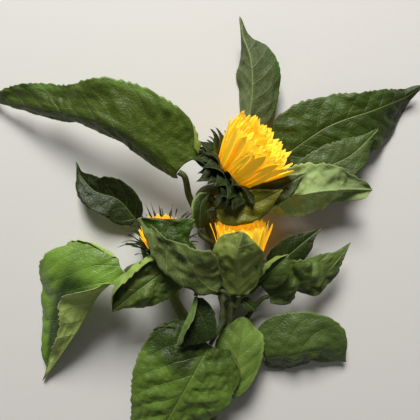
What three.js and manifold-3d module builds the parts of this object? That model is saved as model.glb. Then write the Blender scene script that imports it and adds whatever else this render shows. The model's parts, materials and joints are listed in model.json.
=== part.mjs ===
// A cut, flowering sunflower laid down on a flat surface: one main stem, two side
// branches, three heads, and the leaves on their stalks. Lengths are in millimetres
// and angles in degrees. The plant lies along Y, with its cut end at -Y, and +Z is up
// from the surface it lies on.

import * as THREE from "three";
import { mergeVertices } from "three/addons/utils/BufferGeometryUtils.js";
import Module from "manifold-3d";

const wasm = await Module();
wasm.setup();

// ---------------------------------------------------------------- driving sizes

const GAP = 0.35; // clearance between two pieces that touch on the real plant
const BLADE_THICK = 1.8;
const SLENDER = 9; // half width under which a blade gets thinner
const THINNEST = 0.35; // share of its thickness that a blade keeps at its tip
const REST_SOFTNESS = 1.2; // how gently a blade eases down on to the surface
const TIP_HALF_WIDTH = 0.8;
const ROWS = 8; // steps along a blade
const COLUMNS = 3; // steps across each half of a blade
const HEMMED_COLUMNS = 5; // the same where the margin is turned over
const SECTION_STEPS = 24; // steps of the sum that rolls a section up
const NORMAL_STEP = 0.01; // share of a blade over which its normal is taken
const HEM_SOFTNESS = 0.1; // share of a half over which a turned margin bends, either way
const STEM_SIDES = 9;
const STALK_SIDES = 6;
const LIMB_STEP = 14;
const STALK_RADIUS = 2.4;
const STALK_FLARE = 1.3; // how much thicker a stalk is at its foot
const STALK_GAP = 0.6; // clearance between a stalk and the blade it carries
const STALK_LEAD = 7; // straight stretch of stalk behind a blade
const NECK_LEAD = 10; // straight stretch of stem behind a head
const HEAD_SIDES = 16;

const LEAF_GREEN = { color: 0x46702c, roughness: 0.55, metalness: 0 };
const STEM_GREEN = { color: 0x5f6d35, roughness: 0.7, metalness: 0 };
const BRACT_GREEN = { color: 0x31452a, roughness: 0.75, metalness: 0 };
const PETAL_YELLOW = { color: 0xf2b11c, roughness: 0.6, metalness: 0 };

// Each head faces along its heading, about Z, and its lift above the surface.
const HEADS = {
  top: { at: [15, 29, 36], heading: 44, lift: 28, disc: 22, depth: 18, petals: 54, flare: 38 },
  centre: { at: [31, -63, 30], heading: 90, lift: 15, disc: 20, depth: 16, petals: 39, flare: 31 },
  left: { at: [-46, -41, 19], heading: 100, lift: 42, disc: 17, depth: 14, petals: 20, flare: 25 },
};

// Stems run through these points to their heads, tapering from the first radius to the last.
const STEMS = {
  main_stem: {
    head: "top",
    radius: [7.4, 5.4],
    through: [
      [-14, -290, 8], [1, -214, 9], [15, -140, 16], [16, -84, 20],
      [8, -44, 14], [-1, -10, 14], [-8, 14, 19],
    ],
  },
  branch_centre: {
    head: "centre",
    from: "main_stem",
    radius: [5, 4.4],
    through: [[16, -116, 18], [24, -92, 23]],
  },
  branch_left: {
    head: "left",
    from: "main_stem",
    radius: [6.2, 5],
    through: [[6, -188, 11], [-16, -132, 12], [-37, -93, 14]],
  },
};

// Leaves, by name. from: the stem a leaf's stalk grows on, and the share of that stem's
// length. via: where the stalk passes. rib: points along the midrib to the tip. wide:
// widest part. base: how wide it starts. swell: how fast it widens from there. lobe: how
// far the heart-shaped base reaches back, as a share of its half. point: how fast the tip
// narrows. roll: turn about the midrib, along its length. left and right: the fold of
// each half at the midrib, and the curl added towards its margin, both along the length;
// share scales that half's width; hem turns the margin over by an angle, from a share
// of the half outwards; lobe, on a half, is that half's own.
const LEAVES = {
  left_long: {
    from: ["main_stem", 0.8], via: [[-14, 0, 24], [-21, 14, 34]],
    rib: [[-31, 37, 50], [-92, 78, 58], [-160, 98, 38], [-249, 120, 3]],
    wide: 98, base: 1, swell: 0.9, lobe: 0.25, point: 0.75, roll: [0],
    right: { fold: [8, 5], curl: [10, 25], share: [1, 1.02, 0.94, 0.72, 0.86, 0.95] },
    left: { fold: [-60, -70], curl: [-15], share: [0.5] },
  },
  left_low: {
    from: ["branch_left", 0.72], via: [[-64, -60, 8], [-72, -36, 8]],
    rib: [[-78, -10, 10], [-96, 11, 16], [-120, 20, 18], [-143, 44, 10]],
    wide: 44, base: 0.7, swell: 2, lobe: 0.15, point: 0.9, roll: [0],
    right: { fold: [15], curl: [20] },
    left: { fold: [10], curl: [0] },
  },
  drooping: {
    from: ["main_stem", 0.6], via: [[-6, -80, 28], [-54, -53, 43]],
    rib: [[-84, -61, 44], [-106, -80, 48], [-132, -120, 34], [-179, -183, 3]],
    wide: 122, base: 0.6, swell: 2.4, lobe: 0.22, point: 0.95, roll: [0],
    right: { fold: [5, -12], curl: [-20], share: [0.85, 1, 1.18, 1.3, 1.2] },
    left: { fold: [0, 95, 150, 153, 150], curl: [5], share: [0.2, 0.3, 0.5, 0.35, 0.4] },
  },
  left_pointed: {
    from: ["main_stem", 0.7], via: [[0, -52, 30], [-12, -48, 46]],
    rib: [[-27, -52, 53], [-48, -62, 56], [-68, -76, 60], [-94, -98, 53]],
    wide: 80, base: 0.7, swell: 2, lobe: 0.15, point: 0.8, roll: [0],
    right: { fold: [4], curl: [0], hem: [0.7, 140] },
    left: { fold: [-10], curl: [-10], share: [0.6] },
  },
  front_folded: {
    from: ["main_stem", 0.585], via: [[16, -91, 40], [18, -84, 53]],
    rib: [[7, -74, 64], [-24, -60, 68], [-48, -38, 70], [-65, -8, 68]],
    wide: 104, base: 0.9, swell: 1.6, lobe: 0.1, point: 0.6, roll: [0],
    right: { fold: [9], curl: [0], share: [0.4, 0.45, 0.55, 1.05, 1] },
    left: { fold: [0], curl: [0], hem: [0.2, 160], share: [1, 1.22, 0.95, 0.62, 0.6] },
  },
  front_upright: {
    from: ["branch_centre", 0.4], via: [[27, -98, 32]],
    rib: [[28, -84, 42], [26, -58, 60], [25, -40, 74], [30, -20, 82]],
    wide: 52, base: 0.85, swell: 2, lobe: 0.18, point: 0.5, roll: [180],
    right: { fold: [25], curl: [10] },
    left: { fold: [5], curl: [15] },
  },
  front_behind: {
    from: ["branch_centre", 0.8], via: [[41, -83, 27]],
    rib: [[49, -74, 34], [58, -62, 45], [66, -53, 49], [76, -43, 49]],
    wide: 34, base: 0.7, swell: 2, lobe: 0.12, point: 0.8, roll: [0],
    right: { fold: [0], curl: [0] },
    left: { fold: [0], curl: [0], hem: [0.6, 140] },
  },
  right_small: {
    from: ["branch_centre", 0.5], via: [[38, -85, 17]],
    rib: [[62, -62, 22], [77, -49, 24], [91, -37, 25], [109, -22, 24]],
    wide: 34, base: 0.6, swell: 2.4, lobe: 0.12, point: 0.9, roll: [0],
    right: { fold: [-10], curl: [0] },
    left: { fold: [10], curl: [0] },
  },
  right_twisted: {
    from: ["main_stem", 0.42], via: [[30, -126, 12]],
    rib: [[60, -88, 28], [86, -79, 36], [111, -68, 34], [140, -39, 26]],
    wide: 60, base: 0.6, swell: 2.4, lobe: 0.15, point: 0.9, roll: [0, 20, -20],
    right: { fold: [-30], curl: [0], share: [0.6] },
    left: { fold: [5], curl: [0] },
  },
  right_lower: {
    from: ["main_stem", 0.31], via: [[34, -172, 11]],
    rib: [[58, -155, 18], [84, -149, 25], [112, -145, 24], [144, -161, 8]],
    wide: 88, base: 0.9, swell: 1.6, lobe: 0.3, point: 0.7, roll: [0],
    right: { fold: [-45], curl: [0], share: [0.7] },
    left: { fold: [8], curl: [-15] },
  },
  bottom_broad: {
    from: ["main_stem", 0.535], via: [[12, -114, 34]],
    rib: [[0, -133, 42], [-20, -167, 47], [-42, -208, 38], [-80, -284, 3]],
    wide: 114, base: 1, swell: 1.8, lobe: 0.22, point: 0.9, roll: [0],
    right: { fold: [0], curl: [-10], lobe: 0.34 },
    left: { fold: [-8], curl: [-12], share: [0.85] },
  },
  bottom_back: {
    from: ["main_stem", 0.27], via: [],
    rib: [[12, -187, 25], [24, -164, 29], [31, -137, 30], [34, -109, 25]],
    wide: 50, base: 0.7, swell: 2, lobe: 0.15, point: 0.45, roll: [0],
    right: { fold: [0], curl: [-10] },
    left: { fold: [-4], curl: [0] },
  },
  small_folded: {
    from: ["main_stem", 0.61], via: [[6, -76, 36], [-4, -68, 47]],
    rib: [[-14, -83, 54], [-20, -99, 56], [-27, -114, 55], [-32, -131, 52]],
    wide: 62, base: 0.6, swell: 2.6, lobe: 0.15, point: 0.6, roll: [0],
    right: { fold: [118], curl: [0], share: [0.4] },
    left: { fold: [5], curl: [-10] },
  },
  tiny: {
    from: ["branch_centre", 0.4], via: [], stalkRadius: 1.3,
    rib: [[32, -91, 30], [37, -94, 31], [42, -98, 30], [47, -103, 27]],
    wide: 13, base: 0.6, swell: 2.6, lobe: 0, point: 0.8, roll: [0],
    right: { fold: [0], curl: [0] },
    left: { fold: [0], curl: [0] },
  },
  top: {
    from: ["main_stem", 0.94], via: [[6, 24, 9], [26, 50, 9]],
    rib: [[38, 82, 20], [43, 118, 28], [41, 153, 30], [31, 184, 24]],
    wide: 62, base: 0.6, swell: 2.6, lobe: 0.05, point: 0.8, roll: [180],
    right: { fold: [65], curl: [0] },
    left: { fold: [10], curl: [15] },
  },
  right_broad: {
    from: ["main_stem", 0.88], via: [[14, 8, 9], [45, 28, 8]],
    rib: [[79, 58, 18], [122, 86, 26], [167, 102, 26], [220, 124, 8]],
    wide: 66, base: 0.8, swell: 1.6, lobe: 0.2, point: 0.7, roll: [0],
    right: { fold: [-10, -10, -50], curl: [0], share: [1, 1.12, 1.24, 1.32, 1.5, 1.8] },
    left: { fold: [5], curl: [0], share: [1.5, 1.15, 0.86, 0.68, 0.68, 0.75] },
  },
  right_tucked: {
    from: ["main_stem", 0.84], via: [[14, -5, 8], [54, 10, 14]],
    rib: [[87, 32, 26], [112, 42, 31], [140, 54, 32], [166, 77, 28]],
    wide: 40, base: 0.6, swell: 2.4, lobe: 0.12, point: 0.7, roll: [0],
    right: { fold: [0], curl: [0] },
    left: { fold: [0], curl: [0] },
  },
  right_pale: {
    from: ["main_stem", 0.9], via: [[13, 7, 22], [27, 5, 27]],
    rib: [[46, 6, 34], [80, 13, 42], [115, 19, 46], [156, 21, 34]],
    wide: 60, base: 0.4, swell: 2.6, lobe: 0, point: 0.8, roll: [180],
    right: { fold: [12], curl: [0] },
    left: { fold: [50], curl: [0] },
  },
  collar_dark: {
    from: ["main_stem", 0.92], via: [[8, 7, 36]],
    rib: [[21, 4, 44], [45, 11, 52], [68, 21, 55], [92, 35, 54]],
    wide: 20, base: 0.6, swell: 2.4, lobe: 0, point: 0.8, roll: [0],
    right: { fold: [0], curl: [0] },
    left: { fold: [-10], curl: [0] },
  },
  collar_olive: {
    from: ["main_stem", 0.85], via: [[3, -3, 30], [0, -9, 45]],
    rib: [[6, 0, 52], [19, 2, 58], [41, 6, 63], [68, 19, 65]],
    wide: 27, base: 0.6, swell: 2.4, lobe: 0, point: 0.8, roll: [0],
    right: { fold: [0], curl: [0] },
    left: { fold: [0], curl: [0] },
  },
  collar_left: {
    from: ["main_stem", 0.74], via: [[0, -32, 24]],
    rib: [[-10, -18, 32], [-10, -5, 38], [-8, 8, 41], [0, 17, 40]],
    wide: 18, base: 0.6, swell: 2.4, lobe: 0, point: 0.6, roll: [0],
    right: { fold: [0], curl: [0] },
    left: { fold: [0], curl: [0] },
  },
};

// ---------------------------------------------------------------- curves and closed meshes

const vec = (p) => new THREE.Vector3(...p);
const rad = THREE.MathUtils.degToRad;

/** A smooth curve through the points. */
function curveThrough(points) {
  return new THREE.CatmullRomCurve3(points, false, "centripetal");
}

/** The value at share t of a list whose entries are spread evenly along a length. */
function along(values, t) {
  const at = Math.min(Math.max(t, 0), 1) * (values.length - 1);
  const low = Math.min(Math.floor(at), values.length - 2);
  if (values.length === 1) return values[0];
  const share = THREE.MathUtils.smoothstep(at - low, 0, 1);
  return THREE.MathUtils.lerp(values[low], values[low + 1], share);
}

/** Axes at a tangent: side lies level to its left, up completes them, both rolled by an angle. */
function axesAt(tangent, roll) {
  const side = new THREE.Vector3(-tangent.y, tangent.x, 0).normalize();
  const up = tangent.clone().cross(side);
  const turned = side.clone().multiplyScalar(Math.cos(roll)).addScaledVector(up, Math.sin(roll));
  return { side: turned, up: tangent.clone().cross(turned) };
}

/** An indexed mesh from points and triangles. */
function meshOf(points, triangles) {
  const geometry = new THREE.BufferGeometry().setFromPoints(points);
  geometry.setIndex(triangles.flat());
  return geometry;
}

/** The middle of a ring of points. */
function middleOf(ring) {
  return ring.reduce((sum, p) => sum.add(p), new THREE.Vector3()).divideScalar(ring.length);
}

/** A closed solid through rings of equal count, each counter-clockwise seen from the last ring. */
function loft(rings) {
  const count = rings[0].length;
  const points = rings.flat();
  const triangles = [];
  for (let r = 0; r + 1 < rings.length; r++) {
    for (let i = 0; i < count; i++) {
      const a = r * count + i;
      const b = r * count + ((i + 1) % count);
      triangles.push([a, b, b + count], [a, b + count, a + count]);
    }
  }
  const foot = points.push(middleOf(rings[0])) - 1;
  const crown = points.push(middleOf(rings.at(-1))) - 1;
  const last = (rings.length - 1) * count;
  for (let i = 0; i < count; i++) {
    const j = (i + 1) % count;
    triangles.push([foot, j, i], [crown, last + i, last + j]);
  }
  return meshOf(points, triangles);
}

/** A round limb along a curve, tapering from the first radius to the last. */
function limb(curve, radii, sides) {
  const steps = Math.max(3, Math.ceil(curve.getLength() / LIMB_STEP));
  const rings = [];
  for (let i = 0; i <= steps; i++) {
    const t = i / steps;
    const { side, up } = axesAt(curve.getTangentAt(t), 0);
    const radius = THREE.MathUtils.lerp(radii[0], radii[1], t);
    const ring = [];
    for (let k = 0; k < sides; k++) {
      const angle = (2 * Math.PI * k) / sides;
      const point = curve.getPointAt(t).addScaledVector(side, radius * Math.cos(angle));
      ring.push(point.addScaledVector(up, radius * Math.sin(angle)));
    }
    rings.push(ring);
  }
  return loft(rings);
}

/** One closed geometry less another. */
function cut(geometry, tool) {
  const solids = [geometry, tool].map((g) => {
    const merged = mergeVertices(g.clone(), 1e-4);
    const triVerts = new Uint32Array(merged.index.array);
    return new wasm.Manifold(
      new wasm.Mesh({ numProp: 3, vertProperties: merged.attributes.position.array, triVerts }),
    );
  });
  const left = solids[0].subtract(solids[1]).getMesh();
  const result = new THREE.BufferGeometry();
  result.setAttribute("position", new THREE.BufferAttribute(left.vertProperties, left.numProp));
  return result.setIndex(new THREE.BufferAttribute(left.triVerts, 1));
}

// ---------------------------------------------------------------- stems and heads

/** The way a head faces. */
function facing(head) {
  const level = Math.cos(rad(head.lift));
  return new THREE.Vector3(
    level * Math.cos(rad(head.heading)),
    level * Math.sin(rad(head.heading)),
    Math.sin(rad(head.lift)),
  );
}

/** A stem's centre line, from its foot to the back of its head. */
function stemCurve(stem) {
  const head = HEADS[stem.head];
  const back = vec(head.at);
  const lead = back.clone().addScaledVector(facing(head), -NECK_LEAD);
  const end = back.clone().addScaledVector(facing(head), -GAP);
  return curveThrough([...stem.through.map(vec), lead, end]);
}

/** A stem, cut clear of the stem it grows from. */
function stemSolid(stem, grow = 0) {
  const radii = stem.radius.map((radius) => radius + grow);
  const solid = limb(stemCurve(stem), radii, STEM_SIDES);
  return stem.from && !grow ? cut(solid, stemSolid(STEMS[stem.from], GAP)) : solid;
}

/** Rings of a solid round a head's axis, from pairs of radius and height. */
function turned(head, profile, waves, swing) {
  const axis = facing(head);
  const { side, up } = axesAt(axis, 0);
  return loft(
    profile.map(([radius, height], row) => {
      const ring = [];
      for (let k = 0; k < HEAD_SIDES; k++) {
        const angle = (2 * Math.PI * k) / HEAD_SIDES;
        const uneven = radius * (1 + swing * Math.sin(waves * angle + row));
        const point = vec(head.at).addScaledVector(axis, height);
        point.addScaledVector(side, uneven * Math.cos(angle));
        ring.push(point.addScaledVector(up, uneven * Math.sin(angle)));
      }
      return ring;
    }),
  );
}

/** The green cup of bracts and the face behind the petals. */
function cupSolid(head) {
  const { disc, depth } = head;
  const profile = [
    [0.3 * disc, 0],
    [0.85 * disc, 0.25 * depth],
    [1.08 * disc, 0.65 * depth],
    [1.04 * disc, 0.9 * depth],
    [0.9 * disc, depth],
  ];
  return turned(head, profile, 5, 0.04);
}

/** The mass of petals standing on the cup, closed over and hollowed a little in its middle. */
function petalSolid(head) {
  const { disc, depth, petals, flare } = head;
  const profile = [
    [0.88 * disc, depth + GAP],
    [1.08 * disc, depth + 0.2 * petals],
    [0.94 * flare, depth + 0.62 * petals],
    [flare, depth + 0.86 * petals],
    [0.86 * flare, depth + petals],
    [0.45 * flare, depth + 0.8 * petals],
  ];
  return turned(head, profile, 7, 0.03);
}

// ---------------------------------------------------------------- leaves

/** Half the blade's width at share t of its midrib. */
function halfWidth(leaf, t) {
  const { wide, base, swell, point } = leaf;
  const shape = (u) => Math.pow(1 - u, point) * (base + swell * u);
  const widest = Math.max(0, (swell - point * base) / (swell * (1 + point)));
  const half = (wide / 2) * (shape(t) / shape(widest));
  return Math.max(half, TIP_HALF_WIDTH);
}

/** The blade's thickness at share t of its midrib. */
function thickness(leaf, t) {
  return BLADE_THICK * THREE.MathUtils.clamp(halfWidth(leaf, t) / SLENDER, THINNEST, 1);
}

/** How far a point across a half stands out from the midrib and up from it. */
function section(half, width, t, across) {
  const step = (across * width) / SECTION_STEPS;
  let out = 0;
  let up = 0;
  for (let i = 0; i < SECTION_STEPS; i++) {
    const at = (across * (i + 0.5)) / SECTION_STEPS;
    let angle = along(half.fold, t) + along(half.curl, t) * at;
    if (half.hem) {
      const [from, turn] = half.hem;
      angle += turn * THREE.MathUtils.smoothstep(at, from - HEM_SOFTNESS, from + HEM_SOFTNESS);
    }
    out += step * Math.cos(rad(angle));
    up += step * Math.sin(rad(angle));
  }
  return { out, up };
}

/** Keeps a height at or above a level, easing down on to it. */
function rested(height, level) {
  const over = height - level;
  return level + (over + Math.hypot(over, 2 * REST_SOFTNESS)) / 2;
}

/** A point of the blade's middle surface: t along the midrib, s from -1, right, to 1, left. */
function bladePoint(leaf, rib, t, s) {
  const across = Math.abs(s);
  const half = s >= 0 ? leaf.left : leaf.right;
  const tangent = rib.getTangent(t);
  const { side, up: over } = axesAt(tangent, rad(along(leaf.roll, t)));
  const width = halfWidth(leaf, t) * along(half.share ?? [1], t);
  const { out, up } = section(half, width, t, across);
  const back = (half.lobe ?? leaf.lobe) * width * 4 * across ** 3 * (1 - across ** 3) * (1 - t) ** 3;
  const point = rib.getPoint(t).addScaledVector(side, Math.sign(s) * out);
  point.addScaledVector(over, up).addScaledVector(tangent, -back);
  point.z = rested(point.z, BLADE_THICK / 2);
  return point;
}

/** A leaf's blade: its middle surface thickened both ways and closed round the margin. */
function bladeSolid(leaf) {
  const rib = curveThrough(leaf.rib.map(vec));
  const columns = leaf.left.hem || leaf.right.hem ? HEMMED_COLUMNS : COLUMNS;
  const rowLength = 2 * columns + 1;
  const upper = [];
  const lower = [];
  for (let i = 0; i <= ROWS; i++) {
    const t = i / ROWS;
    for (let j = -columns; j <= columns; j++) {
      const s = j / columns;
      const ahead = bladePoint(leaf, rib, Math.min(1, t + NORMAL_STEP), s);
      const behind = bladePoint(leaf, rib, Math.max(0, t - NORMAL_STEP), s);
      const onward = bladePoint(leaf, rib, t, Math.min(1, s + NORMAL_STEP));
      const backward = bladePoint(leaf, rib, t, Math.max(-1, s - NORMAL_STEP));
      const normal = ahead.sub(behind).cross(onward.sub(backward)).normalize();
      const point = bladePoint(leaf, rib, t, s);
      upper.push(point.clone().addScaledVector(normal, thickness(leaf, t) / 2));
      lower.push(point.clone().addScaledVector(normal, -thickness(leaf, t) / 2));
    }
  }
  const total = upper.length;
  const triangles = [];
  const quad = (a, b, c, d) => triangles.push([a, b, c], [a, c, d]);
  for (let i = 0; i < ROWS; i++) {
    for (let j = 0; j < 2 * columns; j++) {
      const a = i * rowLength + j;
      const b = a + rowLength;
      quad(a, b, b + 1, a + 1);
      quad(total + a, total + a + 1, total + b + 1, total + b);
    }
    const first = i * rowLength;
    const last = first + 2 * columns;
    quad(first, total + first, total + first + rowLength, first + rowLength);
    quad(last, last + rowLength, total + last + rowLength, total + last);
  }
  for (let j = 0; j < 2 * columns; j++) {
    const tip = ROWS * rowLength + j;
    quad(j, j + 1, total + j + 1, total + j);
    quad(tip, total + tip, total + tip + 1, tip + 1);
  }
  return meshOf([...upper, ...lower], triangles);
}

/** A leaf's stalk, from its stem to just short of its blade. */
function stalkSolid(leaf) {
  const rib = curveThrough(leaf.rib.map(vec));
  const tangent = rib.getTangent(0);
  const lead = rib.getPoint(0).addScaledVector(tangent, -STALK_LEAD);
  const end = rib.getPoint(0).addScaledVector(tangent, -STALK_GAP);
  const [stem, share] = leaf.from;
  const foot = stemCurve(STEMS[stem]).getPointAt(share);
  const curve = curveThrough([foot, ...leaf.via.map(vec), lead, end]);
  const radius = leaf.stalkRadius ?? STALK_RADIUS;
  const solid = limb(curve, [STALK_FLARE * radius, radius], STALK_SIDES);
  return cut(solid, stemSolid(STEMS[stem], GAP));
}

// ---------------------------------------------------------------- the plant

const plant = new THREE.Group();

function add(name, geometry, finish) {
  const mesh = new THREE.Mesh(geometry, new THREE.MeshStandardMaterial(finish));
  mesh.name = name;
  plant.add(mesh);
}

for (const [name, stem] of Object.entries(STEMS)) {
  add(name, stemSolid(stem), STEM_GREEN);
}
for (const [name, head] of Object.entries(HEADS)) {
  add("head_" + name, cupSolid(head), BRACT_GREEN);
  add("petals_" + name, petalSolid(head), PETAL_YELLOW);
}
for (const [name, leaf] of Object.entries(LEAVES)) {
  add("leaf_" + name, bladeSolid(leaf), LEAF_GREEN);
  add("stalk_" + name, stalkSolid(leaf), STEM_GREEN);
}

// The origin is the middle of the footprint, on the surface the plant lies on.
const footprint = new THREE.Box3().setFromObject(plant);
const middle = footprint.getCenter(new THREE.Vector3());
plant.position.set(-middle.x, -middle.y, -footprint.min.z);

export default plant;
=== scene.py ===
"""A cut, flowering sunflower lying on a pale table: ridged hairy stems, broad leaves with
toothed margins and puckered veins, and three half-open heads in their bracts."""

import json
import math
import random

import bpy
import numpy as np
from bpy.props import FloatProperty, FloatVectorProperty, IntProperty, PointerProperty
from mathutils import Matrix, Vector

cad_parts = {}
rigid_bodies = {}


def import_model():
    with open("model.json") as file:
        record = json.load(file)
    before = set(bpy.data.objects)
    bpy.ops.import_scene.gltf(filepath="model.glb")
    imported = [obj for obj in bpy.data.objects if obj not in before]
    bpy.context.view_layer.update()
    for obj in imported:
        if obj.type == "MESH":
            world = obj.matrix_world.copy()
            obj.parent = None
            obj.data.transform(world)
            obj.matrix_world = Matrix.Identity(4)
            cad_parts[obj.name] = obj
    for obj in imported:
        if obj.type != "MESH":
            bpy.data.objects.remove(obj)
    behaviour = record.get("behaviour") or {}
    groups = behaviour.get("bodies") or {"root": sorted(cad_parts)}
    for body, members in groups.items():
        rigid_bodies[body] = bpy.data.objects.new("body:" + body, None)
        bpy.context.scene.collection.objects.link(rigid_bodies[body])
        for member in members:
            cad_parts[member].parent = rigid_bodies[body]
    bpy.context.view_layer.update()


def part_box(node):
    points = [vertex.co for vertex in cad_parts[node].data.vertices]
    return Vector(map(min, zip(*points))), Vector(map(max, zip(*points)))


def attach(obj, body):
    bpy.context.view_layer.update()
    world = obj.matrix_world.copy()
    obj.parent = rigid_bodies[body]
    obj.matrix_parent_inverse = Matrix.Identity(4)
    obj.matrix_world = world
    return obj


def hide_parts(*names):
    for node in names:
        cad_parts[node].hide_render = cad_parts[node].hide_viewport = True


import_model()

bl_info = {
    "name": "Cut Sunflower",
    "version": (1, 0, 0),
    "blender": (4, 5, 0),
    "location": "View3D > Sidebar > Sunflower",
    "description": "Builds a cut, flowering sunflower and the table it lies on",
    "category": "Add Mesh",
}

MM = 0.001

# ---------------------------------------------------------------- the plant's layout
# Millimetres and degrees, as the solids have them. Each head faces along its heading,
# about Z, and its lift above the table.

HEADS = {
    "top": dict(at=(15, 29, 36), heading=44, lift=28, disc=22, depth=18, petals=54, flare=38),
    "centre": dict(at=(31, -63, 30), heading=90, lift=15, disc=20, depth=16, petals=39, flare=31),
    "left": dict(at=(-46, -41, 19), heading=100, lift=42, disc=17, depth=14, petals=20, flare=25),
}

STEMS = {
    "main_stem": dict(head="top", radius=(7.4, 5.4), through=[
        (-14, -290, 8), (1, -214, 9), (15, -140, 16), (16, -84, 20), (8, -44, 14),
        (-1, -10, 14), (-8, 14, 19)]),
    "branch_centre": dict(head="centre", radius=(5, 4.4), through=[(16, -116, 18), (24, -92, 23)]),
    "branch_left": dict(head="left", radius=(6.2, 5), through=[
        (6, -188, 11), (-16, -132, 12), (-37, -93, 14)]),
}

# A half-blade without fold or curl.
FLAT = dict(fold=[0], curl=[0])

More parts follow.
